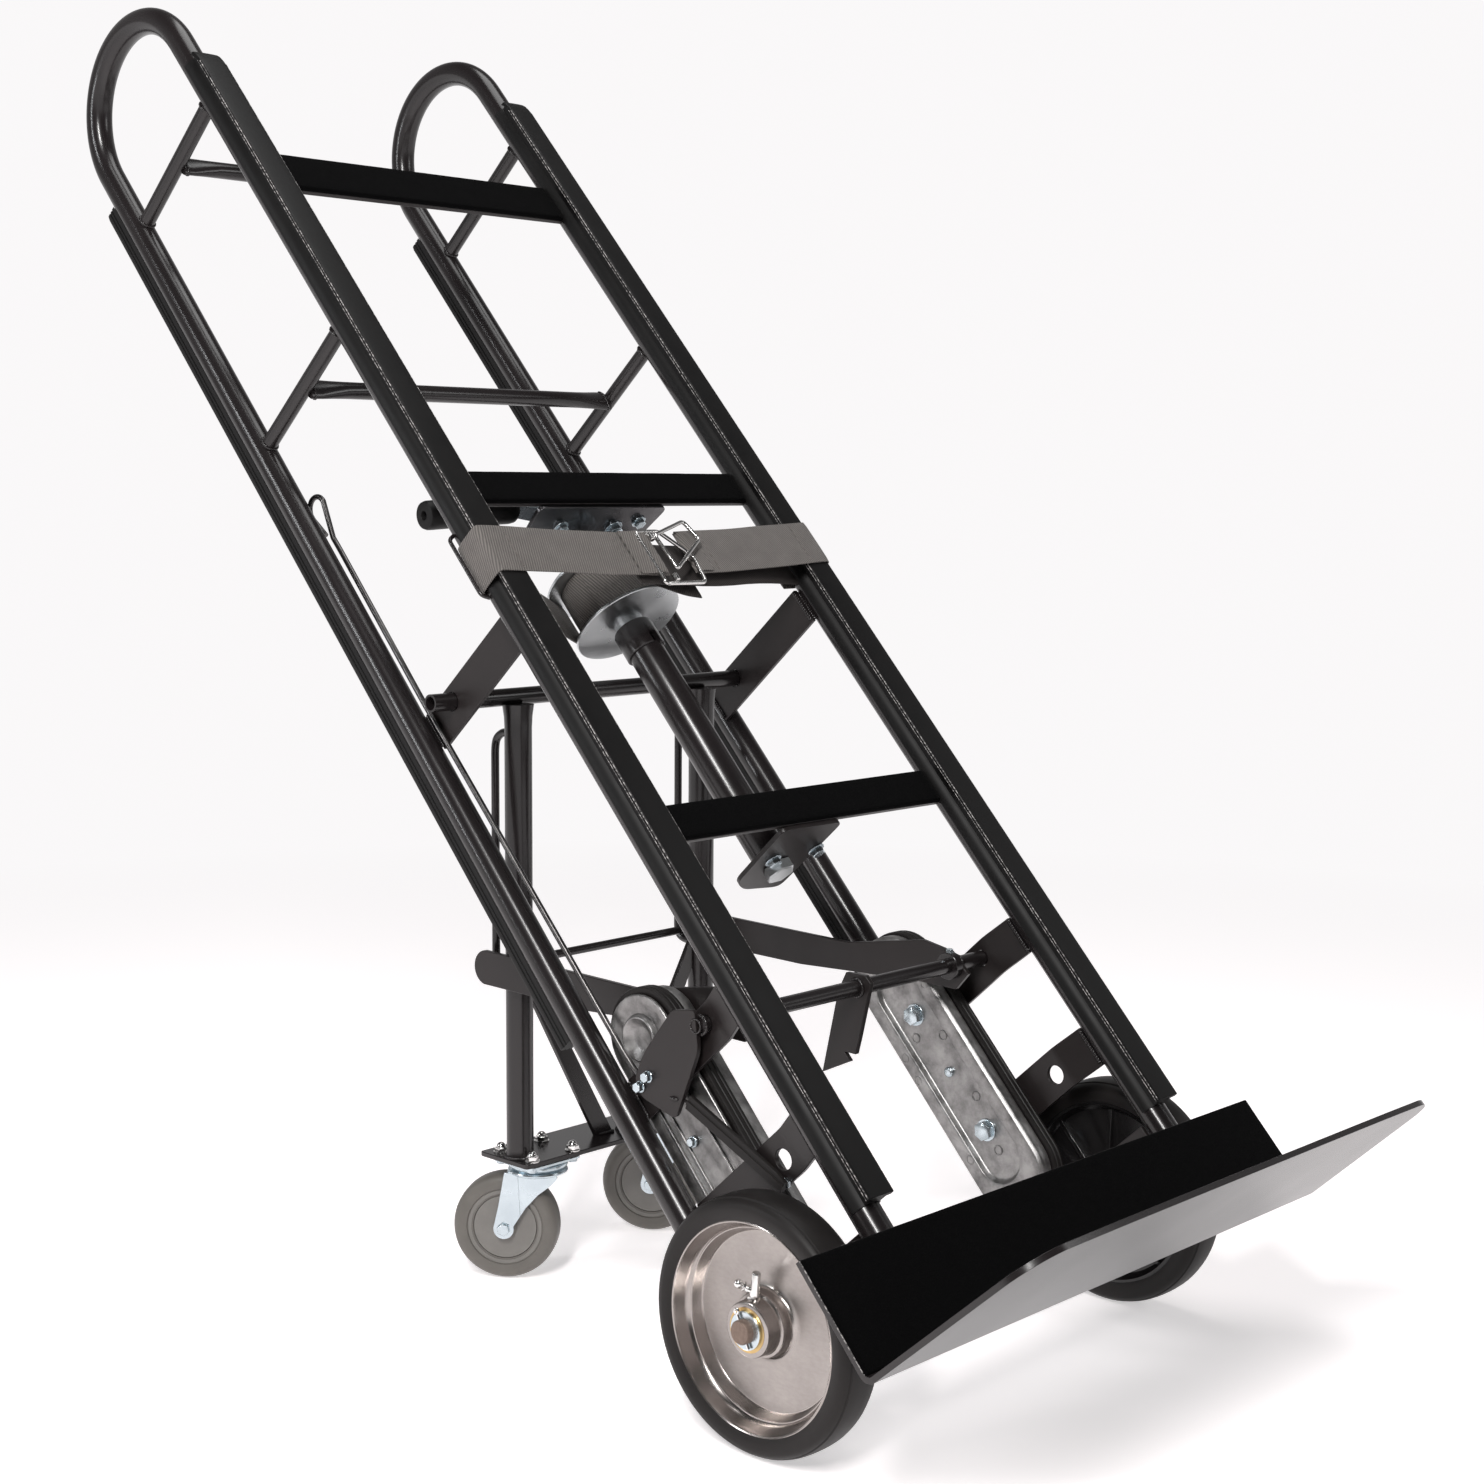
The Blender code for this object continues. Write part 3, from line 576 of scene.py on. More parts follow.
def polished_aluminium():
    """Spun hub: satin turned disc between a polished boss and a polished rim, with fine scratches."""
    material, tree, shader = shader_of("polished_aluminium", (0.45, 0.42, 0.4), 0.3, 1.0)
    centre = at(0, 0, WHEEL_R)
    shifted = mapped(tree, (0, 1, 1), (0, 0, 0), (0, -centre.y, -centre.z))
    reach = tree.nodes.new("ShaderNodeVectorMath")
    reach.operation = "LENGTH"
    tree.links.new(shifted, reach.inputs[0])
    rings = bands_of(tree, reach.outputs["Value"], 900.0, "X", 0.0)
    cloud = grain(tree, (0.2, 1, 1), 24.0, 6.0, 0.6)
    brushed = noise_of(tree, mapped(tree, (1, 180, 420), (0.35, 0, 0)), 1.0, 5.0, 0.7)
    shade = math_of(tree, "MULTIPLY", between(tree, cloud, 0.45, 1.3), between(tree, brushed, 0.7, 1.15))
    tint = blend_colours(tree, shade, (0.13, 0.116, 0.11), (0.42, 0.388, 0.37))
    tree.links.new(tint, shader.inputs["Base Color"])
    polished = math_of(tree, "MAXIMUM", window(tree, reach.outputs["Value"], 0.069, 0.0705),
                       window(tree, reach.outputs["Value"], 0.031, 0.027))
    satin = between(tree, cloud, 0.26, 0.42)
    finish = math_of(tree, "SUBTRACT", satin, math_of(tree, "MULTIPLY", polished, 0.12))
    tree.links.new(finish, shader.inputs["Roughness"])
    bumped(tree, shader, rings, 0.03, 0.0001)
    bumped(tree, shader, brushed, 0.05, 0.0002)
    return material


def pale_floor():
    """Near-white floor that glows: faintly near the object, paling the shadows on it, and fully away from it,
    where it turns into the bright sweep behind it.
    """
    material, tree, shader = shader_of("pale_floor", (0.6, 0.58, 0.58), 0.9)
    shader.inputs["Specular IOR Level"].default_value = 0.0
    shader.inputs["Emission Color"].default_value = (*SWEEP_WHITE, 1)
    reach = tree.nodes.new("ShaderNodeVectorMath")
    reach.operation = "LENGTH"
    tree.links.new(mapped(tree), reach.inputs[0])
    away = window(tree, reach.outputs["Value"], 0.75, 2.6)
    # Painted light: near the object the floor glows about half as strongly as the sweep, which pales its
    # shadows; further out it glows fully.
    tree.links.new(between(tree, away, 0.53, 1.0), shader.inputs["Emission Strength"])
    colour = blend_colours(tree, away, (0.95, 0.9, 0.905), (0.0, 0.0, 0.0))
    tree.links.new(colour, shader.inputs["Base Color"])
    return material


def painted_and_plated():
    """The looks that need no pattern of their own, each with the finish slot it goes in."""
    return {
        # Satin black powder coat with a brown-grey bloom in broad patches.
        "paint": (clouded("black_paint", (0.017, 0.015, 0.0155), 0.32, 0.0, (EVEN, 7.0, 4.0),
                          (0.009, 0.0074, 0.0078), (0.0175, 0.0142, 0.0146), (0.2, 0.27)), "black_paint"),
        # The same coat on flat bar, flatter and a little browner, with rolling marks under it.
        "plate": (clouded("plate_paint", (0.016, 0.0145, 0.0145), 0.4, 0.0, (EVEN, 14.0, 6.0),
                          (0.0105, 0.0084, 0.0085), (0.021, 0.0167, 0.0165), (0.3, 0.44), 0.34,
                          (EVEN, (60.0, 2.0), 0.05, 0.0003)), "black_paint"),
        # Wet-looking enamel on the wheels' inner faces.
        "gloss": (clouded("gloss_black", (0.008, 0.0075, 0.008), 0.12, 0.0, (EVEN, 30.0, 3.0),
                          (0.006, 0.0056, 0.006), (0.014, 0.0128, 0.013), (0.08, 0.2)), "black_paint"),
        # Bright zinc plate: blue-white, cloudy in patches, fine rolling scratches.
        "zinc": (clouded("zinc", (0.6, 0.64, 0.67), 0.25, 1.0, (EVEN, 45.0, 6.0, 0.6),
                         (0.42, 0.48, 0.52), (0.7, 0.78, 0.82), (0.16, 0.36),
                         marks=((90, 1400, 1400), (1.0, 3.0), 0.06, 0.0002)), "zinc"),
        # Release rod: drawn wire under dark zinc.
        "dark_zinc": (clouded("dark_zinc", (0.13, 0.125, 0.125), 0.3, 1.0, (EVEN, 40.0, 5.0),
                              (0.06, 0.057, 0.058), (0.19, 0.182, 0.18), (0.22, 0.4)), "zinc"),
        # Dark reflective rolled plate of the ratchet's bracket.
        "sheet": (clouded("steel_sheet", (0.3, 0.3, 0.31), 0.3, 1.0, ((1, 3, 3), 30.0, 5.0),
                          (0.06, 0.058, 0.062), (0.16, 0.155, 0.16), (0.16, 0.34),
                          marks=((60, 900, 900), (1.0, 3.0), 0.08, 0.0002)), "zinc"),
        # Zinc flanges of the reel, finely scratched.
        "disc": (clouded("brushed_disc", (0.6, 0.61, 0.62), 0.3, 1.0, (EVEN, 25.0, 5.0),
                         (0.44, 0.46, 0.47), (0.7, 0.72, 0.73), (0.2, 0.4),
                         marks=((1500, 60, 60), (1.0, 2.0), 0.05, 0.0002)), "zinc"),
        # Bright plated wire with a few dull patches.
        "chrome": (clouded("chrome", (0.78, 0.77, 0.76), 0.12, 1.0, (EVEN, 120.0, 3.0),
                           (0.62, 0.61, 0.6), (0.86, 0.85, 0.84), (0.08, 0.22)), "zinc"),
        "brass": (clouded("brass", (0.6, 0.42, 0.18), 0.3, 1.0, (EVEN, 150.0, 4.0),
                          (0.42, 0.28, 0.12), (0.72, 0.52, 0.25), (0.22, 0.4)), "zinc"),
        # Sawn axle end: brown oxide over steel.
        "steel": (clouded("bare_steel", (0.2, 0.15, 0.12), 0.55, 0.7, (EVEN, 260.0, 6.0, 0.7),
                          (0.09, 0.065, 0.055), (0.36, 0.27, 0.22), (0.45, 0.75),
                          marks=(EVEN, (260.0, 6.0, 0.7), 0.5, 0.0004)), "zinc"),
        # Moulded black rubber, dusty where it is rubbed.
        "rubber": (clouded("rubber", (0.012, 0.0115, 0.011), 0.55, 0.0, (EVEN, 28.0, 6.0, 0.6),
                           (0.0062, 0.0052, 0.0051), (0.0165, 0.0138, 0.0132), (0.42, 0.58), 0.26,
                           (EVEN, (300.0, 3.0), 0.1, 0.0002)), "rubber"),
        # Grey polyurethane tyre, satin, slightly mottled.
        "tread": (clouded("grey_tread", (0.12, 0.112, 0.1), 0.5, 0.0, (EVEN, 70.0, 5.0),
                          (0.1, 0.093, 0.083), (0.15, 0.139, 0.125), (0.38, 0.55),
                          marks=(EVEN, (900.0, 3.0), 0.08, 0.0002)), "grey_tread"),
        # Moulded grey hub, paler and smoother than the tread.
        "grey_hub": (clouded("grey_hub", (0.19, 0.185, 0.175), 0.45, 0.0, (EVEN, 90.0, 4.0),
                             (0.15, 0.143, 0.133), (0.2, 0.19, 0.176), (0.35, 0.5)), "grey_tread"),
    }


LOOKS = {
    **painted_and_plated(),
    "plastic": (black_plastic(), "black_plastic"),
    # Painted highlight: pale rods along the runners' lips and the toe plate's edges.
    "painted_edge_glint": (painted_edge_glint(), "black_plastic"),
    "painted_glint_on_paint": (painted_edge_glint(), "black_paint"),
    "felt": (felt(), "felt"),
    "webbing": (webbing(), "webbing"),
    # Painted shade: a darker tape for the inner layer and tail that lie in shadow.
    "webbing_painted_shade": (webbing_painted_shade(), "webbing"),
    "thread": (thread(), "webbing"),
    "cast": (cast_aluminium(), "cast_aluminium"),
    "hub": (polished_aluminium(), "polished_aluminium"),
}


# ---------------------------------------------------------------- pieces

def new_object(name, bm, look):
    bmesh.ops.recalc_face_normals(bm, faces=bm.faces)
    mesh = bpy.data.meshes.new(name)
    bm.to_mesh(mesh)
    bm.free()
    mesh.materials.append(LOOKS[look][0])
    mesh.shade_smooth()
    obj = bpy.data.objects.new(name, mesh)
    bpy.context.scene.collection.objects.link(obj)
    return obj


def piece(name, bm, look, body="frame", nodes=(), bevel=0.0, ride=True):
    """One finished piece: a mesh, its look, the body it rides on and the CAD nodes it stands for."""
    obj = new_object(name, bm, look)
    if bevel:
        edges = obj.modifiers.new("edges", "BEVEL")
        edges.width = bevel * MM
        edges.segments = 2
        edges.limit_method = "ANGLE"
        edges.angle_limit = SHARP
        edges.harden_normals = True
    else:
        obj.data.set_sharp_from_angle(angle=SHARP)
    if ride:
        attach(obj, body)
    if nodes:
        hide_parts(*nodes)
    return obj


def cut(bm, cutters, look="plate"):
    """Takes cutters out of a shape and gives back its mesh."""
    obj = new_object("being_cut", bm, look)
    for cutter in cutters:
        tool = new_object("cutter", cutter, look)
        modifier = obj.modifiers.new("cut", "BOOLEAN")
        modifier.operation = "DIFFERENCE"
        modifier.object = tool
        graph = bpy.context.evaluated_depsgraph_get()
        mesh = bpy.data.meshes.new_from_object(obj.evaluated_get(graph))
        obj.modifiers.clear()
        obj.data = mesh
        bpy.data.objects.remove(tool)
    out = bmesh.new()
    out.from_mesh(obj.data)
    bpy.data.objects.remove(obj)
    return out


def soft_slab(x, s, n, thick, seed):
    """Felt glued on a plate: flat back, rolled edges and an uneven nap on its face."""
    def stations(low, high, step=4.0):
        near = [0.0, 0.25, 0.7, 1.4, 2.4]
        inner = high - low - 2 * near[-1]
        count = max(2, round(inner / step))
        middle = [near[-1] + inner * i / count for i in range(1, count)]
        far = [high - low - d for d in reversed(near)]
        return [low + d for d in near + middle + far]

    def edge(distance):
        t = min(1.0, distance / 2.4)
        return 0.35 + 0.65 * math.sqrt(1 - (1 - t) ** 2)

    xs, ss = stations(*x), stations(*s)
    bm = bmesh.new()
    grids = []
    for face in (0, 1):
        grid = []
        for i, px in enumerate(xs):
            row = []
            for j, ps in enumerate(ss):
                lift = 0.0
                if face:
                    reach = min(px - x[0], x[1] - px, ps - s[0], s[1] - ps)
                    nap = noise.noise(Vector((px * 0.09, ps * 0.09, seed))) * 0.16
                    nap += noise.noise(Vector((px * 0.6, ps * 0.6, seed + 5))) * 0.07
                    lift = thick * edge(reach) - 0.15 + nap
                row.append(bm.verts.new(on_rail(px, ps, n + lift)))
            grid.append(row)
        grids.append(grid)
    for grid in grids:
        for i in range(len(xs) - 1):
            for j in range(len(ss) - 1):
                bm.faces.new((grid[i][j], grid[i + 1][j], grid[i + 1][j + 1], grid[i][j + 1]))
    last_i, last_j = len(xs) - 1, len(ss) - 1
    rim = [(i, 0) for i in range(last_i)] + [(last_i, j) for j in range(last_j)]
    rim += [(i, last_j) for i in range(last_i, 0, -1)] + [(0, j) for j in range(last_j, 0, -1)]
    for (i, j), (k, m) in zip(rim, rim[1:] + rim[:1]):
        bm.faces.new((grids[0][i][j], grids[0][k][m], grids[1][k][m], grids[1][i][j]))
    return bm


# ---------------------------------------------------------------- frame

def side_tubes():
    """Each side tube is bent from the front foot over the hand loop down to the rear foot."""
    radius = (FRONT_N - REAR_N) / 2
    middle = (FRONT_N + REAR_N) / 2
    for word, side in SIDES.items():
        x = side * TUBE_X
        path = [on_rail(x, FRONT_FOOT_S, FRONT_N)]
        path += [on_rail(x, s, n) for s, n in arc((LOOP_S, middle), radius, 90, -90, 56)]
        path.append(on_rail(x, REAR_FOOT_S, REAR_N))
        piece(f"side_tube_{word}_bent", pipe(path, TUBE_R), "paint", nodes=[f"side_tube_{word}"])


def load_section(height):
    """(x, n) outline of the load runner: a clip round the tube, a narrow neck and a flat head."""
    clip = TUBE_R + 1.6
    neck = 9.2
    turn = math.degrees(math.acos(neck / clip))
    seat = arc((0, 0), TUBE_R + 0.25, 0, 180, 24)
    flank = [(-neck, 6.2), (-neck - 0.6, 5.2), (-14.0, 4.7), (-14.75, 4.1), (-14.75, 3.1)]
    flank += [(-14.2, 2.8), (-14.2, 2.2), (-14.7, 1.9), (-14.4, 1.1), (-13.6, 0.5)]
    left = arc((0, 0), clip, 180, 180 - turn, 10) + [(x, height - drop) for x, drop in flank]
    half = 12.6
    crown = [(x, height - 0.35 * (x / half) ** 2) for x in (half * (i / 3 - 1) for i in range(7))]
    return seat + left + crown + mirrored(left)


def load_strips():
    stations = ((27.0, 23.2), (27.5, 23.5), (1273.0, 23.5), (1281.0, 22.8), (1288.0, 21.4), (1292.0, 19.6))
    for word, side in SIDES.items():
        rings = []
        for s, height in stations:
            section = load_section(height)
            rings.append([on_rail(side * TUBE_X + x, s, FRONT_N + n) for x, n in section])
        piece(f"load_runner_{word}", loft(rings), "plastic", nodes=[f"load_strip_{word}"])
        # Pale rods along the head's lips: a painted highlight for the glint these edges catch.
        lips = []
        for offset in (-14.62, 14.62):
            x = side * TUBE_X + offset
            for height, last in ((19.6, 1279.0), (22.0, 1276.0)):
                ends = [on_rail(x, s, FRONT_N + height) for s in (27.6, last)]
                lips.append(rod(*ends, 0.42, 8))
        piece(f"runner_lip_painted_glints_{word}", fused(lips), "painted_edge_glint")


def skid_section():
    """(x, n) outline of the ribbed skid runner, its wearing face at the top."""
    seat = TUBE_R + 0.25
    reach = math.degrees(math.asin(10.0 / seat))
    outline = arc((0, 0), seat, 90 - reach, 90 + reach, 14)
    side = [(-10, 9.4)]
    for low in (13.0, 17.0):
        side += [(-10, low), (-9.0, low + 0.5), (-9.0, low + 1.5), (-10, low + 2.0)]
    side += [(-10, 22.6), (-9.4, 23.9), (-8.2, 24.4)]
    ribs = []
    for x in (-4.6, 0.0, 4.6):
        ribs += [(x - 1.2, 24.4), (x - 0.8, 23.3), (x + 0.8, 23.3), (x + 1.2, 24.4)]
    return outline + side + ribs + mirrored(side)


def skid_strips():
    section = skid_section()
    for word, side in SIDES.items():
        rings = []
        for s, scale in ((297.0, 0.97), (298.0, 1.0), (1292.0, 1.0), (1296.0, 0.9)):
            ring = [(side * TUBE_X + x, s, REAR_N - 12.6 - (n - 12.6) * scale) for x, n in section]
            rings.append(on_rails(ring))
        piece(f"skid_runner_{word}", loft(rings), "plastic", nodes=[f"skid_strip_{word}"])


def oval(x, s, tall, deep, steps):
    """A ring round a crossbar's axis, tall along the rails and deep across them."""
    unit = arc((0, 0), 1, 0, 360 - 360 / steps, steps - 1)
    return [on_rail(x, s + tall * y, CROSSBAR_N + deep * z) for y, z in unit]


def pinched_bar(s):
    """Crossbar whose ends are pressed flat where they are welded to the struts."""
    stations = [(0, 0), (120, 0), (148, 0.15), (165, 0.55), (178, 0.9), (190, 1.0)]
    stations = mirrored(stations[1:]) + stations
    rings = []
    for reach, flat in stations:
        rings.append(oval(reach, s, CROSSBAR_R * (1 + 0.5 * flat), CROSSBAR_R * (1 - 0.48 * flat), 40))
    return loft(rings)


def handle_braces():
    """Struts inside each side tube, the crossbar between them, and the beads that hold them."""
    ends = (REAR_N + TUBE_R - 1.5, FRONT_N - TUBE_R + 1.5)
    for word, s in BRACE_S.items():
        shapes = [pinched_bar(s)]
        welds = []
        for side in SIDES.values():
            x = side * TUBE_X
            shapes.append(rod(on_rail(x, s, ends[0]), on_rail(x, s, ends[1]), STRUT_R))
            for n in (ends[0] + 2.2, ends[1] - 2.2):
                welds.append(ring_weld(on_rail(x, s, n), TO_LOAD, STRUT_R + 0.2, 1.4))
            welds.append(bead(oval(x - side * (STRUT_R + 0.2), s, 11.8, 4.4, 24), 1.2, True))
        piece(f"brace_{word}", fused(shapes), "paint", nodes=[f"handle_brace_{word}"])
        piece(f"brace_{word}_welds", fused(welds), "paint")


def slats():
    """Cross slats welded between the front rails, each with its felt."""
    for word, s in SLATS.items():
        plate = block((-SLAT_X, SLAT_X), s, SLAT_N)
        piece(f"slat_{word}_plate", plate, "plate", nodes=[f"slat_{word}"], bevel=0.8)
        welds = []
        for side in SIDES.values():
            x = side * (TUBE_X - TUBE_R - 0.2)
            for n in (SLAT_N[0] - 0.3, SLAT_N[1] - 0.4):
                welds.append(bead([on_rail(x, s[0] + 3, n), on_rail(x, s[1] - 3, n)], 1.6))
        piece(f"slat_{word}_welds", fused(welds), "paint")
        x = TUBE_X - TUBE_R - 3
        cover = soft_slab((-x, x), (s[0] + 0.3, s[1] - 0.3), SLAT_N[1] + 0.1, FELT_T, s[0])
        cover = piece(f"slat_{word}_felt", cover, "felt", nodes=[f"slat_felt_{word}"])


def long_bar(side, s_span, joggled):
    """Flat bar along n; a joggled one is set outward at its front end to meet the middle of the tube."""
    stations = [(BAR_N[0], 0.0), (62.0, 0.0)]
    stations += [(68.0, 1.0), (90.0, 8.6), (94.6, 9.5)] if joggled else [(BAR_N[1], 0.0)]
    rings = []
    for n, out in stations:
        x = span(side, (BAR_X[0] + out, BAR_X[1] + out))
        rings.append([on_rail(x[a], s_span[b], n) for a, b in ((0, 0), (1, 0), (1, 1), (0, 1))])
    return loft(rings)


def flat_bars():
    """Flat bars between the front and the rear rail, with their holes and end welds."""
    holes = {
        "side_bar": (*rail_of(*PIVOT), PIVOT_R + 0.3),
        "upper_bracket": (*rail_of(*SHAFT), SHAFT_R + 0.3),
        "lower_bracket": (102.0, 52.0, 8.5),
    }
    for bar, s_span in BAR_SPANS.items():
        hole_s, hole_n, radius = holes[bar]
        for word, side in SIDES.items():
            hole = [on_rail(x, hole_s, hole_n) for x in (side * BAR_X[0] - 8, side * BAR_X[1] + 8)]
            joggled = bar != "side_bar"
            shape = cut(long_bar(side, s_span, joggled), [rod(*hole, radius, 40)])
            piece(f"{bar}_{word}_plate", shape, "plate", nodes=[f"{bar}_{word}"], bevel=0.7)
            welds = []
            front = (94.8, 9.5) if joggled else (99.2, 0.0)
            for n, out in ((-55.4, 0.0), front):
                for x in (BAR_X[0] + out - 0.6, BAR_X[1] + out + 0.6):
                    ends = [on_rail(side * x, s, n) for s in (s_span[0] + 2, s_span[1] - 2)]
                    welds.append(bead(ends, 2.3))
            piece(f"{bar}_{word}_welds", fused(welds), "paint")


def toe():
    """Toe plate folded from one sheet, its felt, and the welds to the front rails."""
    bend = 5.0
    inner_n = TOE_BACK_N + TOE_T
    rings = [[(TOE_X, TOE_TOP_S, TOE_BACK_N), (-TOE_X, TOE_TOP_S, TOE_BACK_N),
              (-TOE_X, TOE_TOP_S, inner_n), (TOE_X, TOE_TOP_S, inner_n)]]
    centre = (TOE_S + bend, inner_n + bend)
    for i in range(9):
        a = math.radians(90 * i / 8)
        outer = (centre[0] - (bend + TOE_T) * math.sin(a), centre[1] - (bend + TOE_T) * math.cos(a))
        inner = (centre[0] - bend * math.sin(a), centre[1] - bend * math.cos(a))
        rings.append([(TOE_X, *outer), (-TOE_X, *outer), (-TOE_X, *inner), (TOE_X, *inner)])
    edge = arc(TOE_CORNER, TOE_CORNER_R, 5, 86, 14) + [(190.0, 300.2), (130.0, 300.5)]
    for x, n in edge:
        rings.append([(x, TOE_S - TOE_T, n), (-x, TOE_S - TOE_T, n), (-x, TOE_S, n), (x, TOE_S, n)])
    rings = [on_rails(ring) for ring in rings]
    piece("toe_plate_folded", loft(rings), "paint", nodes=["toe_plate"], bevel=0.7)
    # Pale rods along the plate's side edges: a painted highlight for the thin line of light they catch.
    edge_glints = []
    for x in (-TOE_X, TOE_X):
        ends = [on_rail(x, s, inner_n - 0.1) for s in (TOE_TOP_S - 0.6, TOE_S + bend)]
        edge_glints.append(rod(*ends, 0.4, 8))
    piece("toe_edge_painted_glints", fused(edge_glints), "painted_glint_on_paint")
    x = TOE_X - 0.6
    cover = soft_slab((-x, x), (TOE_S + 2.5, TOE_TOP_S - 0.5), inner_n + 0.1, 2.2, 3)
    cover = piece("toe_back_felt", cover, "felt", nodes=["toe_felt"])
    welds = []
    for side in SIDES.values():
        for offset in (-6.5, 6.5):
            x = side * TUBE_X + offset
            ends = [on_rail(x, s, TOE_BACK_N - 1) for s in (FRONT_FOOT_S + 3, 0)]
            welds.append(bead(ends, 2.0))
    piece("toe_welds", fused(welds), "paint")


def axle():
    """Dead axle, its hanger bars and spacers, and what holds the wheels on at each end."""
    centre = at(0, 0, WHEEL_R)
    shapes = []
    hangers = []
    bar_x = AXLE_END_X - 7
    for word, side in SIDES.items():
        out = ACROSS * side
        hangers.append(block(span(side, BAR_X), (-19, 19), BAR_N))
        spacer = [(AXLE_R, 0), (13.5, 0), (14, 0.6), (14, 28.4), (13.5, 29), (AXLE_R, 29)]
        shapes.append(turned(spacer, centre + out * BAR_X[1] * MM, out, 40))
        washer = [(AXLE_R - 0.2, 0), (14.4, 0), (15.0, 0.5), (15.0, 2.0), (14.4, 2.5), (AXLE_R - 0.2, 2.5)]
        shapes.append(turned(washer, centre + out * 256.4 * MM, out, 40))
        stub = [(AXLE_R, -3), (AXLE_R, 4.8), (AXLE_R - 0.9, 6)]
        piece(f"axle_end_{word}", lathe(stub, centre + out * (AXLE_END_X - 6) * MM, out, 40), "steel")
        pin_x = side * 260.6
        pin = [at(pin_x, y, WHEEL_R + z) for y, z in ((6.0, 12.6), (4.2, 9.0), (-4.4, -9.2), (-6.0, -12.2))]
        eye = circle(at(pin_x, 6.8, WHEEL_R + 14.2), ACROSS, 1.9, 16)
        wires = [sweep(soften(pin, 2.5), 1.2, 10), sweep(eye, 1.1, 8, True)]
        piece(f"cotter_pin_{word}", fused(wires), "chrome")
    shapes.append(rod(centre - ACROSS * bar_x * MM, centre + ACROSS * bar_x * MM, AXLE_R, 40))
    piece("axle_bar", fused(shapes), "zinc", nodes=["axle"])
    piece("axle_hangers", fused(hangers), "plate", bevel=0.7)


# ---------------------------------------------------------------- wheels

def tyre(word, centre, out, body):
    """Solid tyre with a rounded crown and a step at each shoulder."""
    half = [(RIM_R - 0.4, -17.6), (86.0, -19.2), (91.5, -20.0), (95.4, -19.4), (97.2, -18.0), (98.6, -16.4)]
    half += [(99.2, -15.2), (98.7, -14.8), (98.8, -14.2), (100.2, -13.4), (101.2, -9.5), (WHEEL_R, -4.0)]
    shape = turned(there_and_back(half), centre, out, 96)
    piece(f"tyre_{word}", shape, "rubber", body, [f"wheel_tyre_{word}"])


def hub_dish(word, centre, out, body):
    """The polished outer dish, from the bore out to the rolled rim."""
    dish = [(12.6, 8.0), (12.6, 19.2), (13.2, 19.8), (20.6, 20.0), (21.4, 19.5), (21.8, 18.4), (22.4, 8.0)]
    dish += [(22.8, 7.2), (24.8, 6.6), (25.4, 5.6), (25.9, 0.0), (26.8, -2.4), (29.0, -3.8), (33.0, -4.4)]
    dish += [(50.0, -4.8), (68.0, -5.0), (70.4, -4.6), (71.6, -3.0), (73.6, 3.4), (74.4, 4.8), (75.2, 5.0)]
    dish += [(75.9, 4.4), (76.6, 5.0), (78.4, 9.0), (80.4, 15.4), (81.4, 17.8), (82.4, 18.3), (83.2, 17.8)]
    dish += [(83.4, 16.4), (83.4, 3.0), (79.0, 3.0), (75.4, -4.0), (73.0, -7.6), (20.0, -7.6), (12.6, -6.0)]
    piece(f"hub_dish_{word}", turned(dish, centre, out, 96), "hub", body, [f"wheel_hub_{word}"])


def hub_back(word, centre, out, body):
    """The hub's black inner side: rim and boss, with eight spokes across it."""
    back = [(12.6, -7.8), (73.0, -7.8), (75.6, -4.2), (83.2, 2.8), (83.2, -17.2), (82.0, -18.0)]
    back += [(79.6, -17.6), (77.8, -15.0), (75.0, -10.4), (25.0, -9.8), (22.0, -11.0), (20.6, -21.0)]
    back += [(19.8, -22.0), (12.6, -22.0)]
    piece(f"hub_back_{word}", turned(back, centre, out, 96), "gloss", body)
    spokes = []
    for k in range(8):
        a = 2 * math.pi * k / 8
        radial = Vector((0, math.cos(a), math.sin(a)))
        flank = Vector((0, -math.sin(a), math.cos(a))) * 2.2 * MM
        corners = []
        for r, h in ((20.0, -9.0), (77.0, -9.0), (77.0, -14.0), (20.0, -18.0)):
            corners.append(centre + radial * r * MM + out * h * MM - flank)
        spokes.append(prism(corners, flank * 2))
    piece(f"hub_spokes_{word}", fused(spokes), "gloss", body, bevel=0.8)


def bearing_bush(word, centre, out, body):
    bore = AXLE_R + 0.3
    bush = [(bore, -20.5), (12.8, -20.5), (12.8, 19.4), (17.4, 19.9), (17.6, 20.4), (bore, 20.4)]
    piece(f"bearing_bush_{word}", turned(bush, centre, out, 48), "brass", body)


def wheels():
    for word, side in SIDES.items():
        where = (word, at(side * WHEEL_X, 0, WHEEL_R), ACROSS * side, f"wheel_{word}")
        for build_part in (tyre, hub_dish, hub_back, bearing_bush, grease_fitting):
            build_part(*where)


def grease_fitting(word, centre, out, body):
    """Elbow grease fitting screwed into the boss."""
    up = Vector((0, 0.16, 0.99)).normalized()
    foot = centre + out * 9.0 * MM + up * 19.0 * MM
    plug = [(3.9, 0), (3.9, 10.0), (3.5, 10.8), (3.5, 24.0), (2.8, 25.0)]
    plug_axis = (up + Vector((0, -0.34, 0)) + out * 0.1).normalized()
    lean = (out * 0.8 + Vector((0, 0.75, 0.6))).normalized()
    ball = [(3.3, 0), (3.3, 5.0), (2.1, 6.6), (2.1, 9.4), (3.3, 10.6), (3.8, 12.8), (3.2, 14.8), (1.7, 16.0)]
    shapes = [hexagon(foot, up, 10.0, 5.0, 0.6), lathe(plug, foot, plug_axis, 24)]
    shapes.append(lathe(ball, foot + up * 8.0 * MM, lean, 24))
    collar = circle(foot + up * 8.0 * MM + lean * 8.0 * MM, lean, 3.2, 20)
    shapes.append(sweep(collar, 0.9, 8, True))
    piece(f"grease_fitting_{word}", fused(shapes), "chrome", body)


# ---------------------------------------------------------------- climbers

def stadium_ring(side, x, ends, half):
    return [on_rail(side * x, s, n) for s, n in stadium(ends, GUIDE_N, half)]


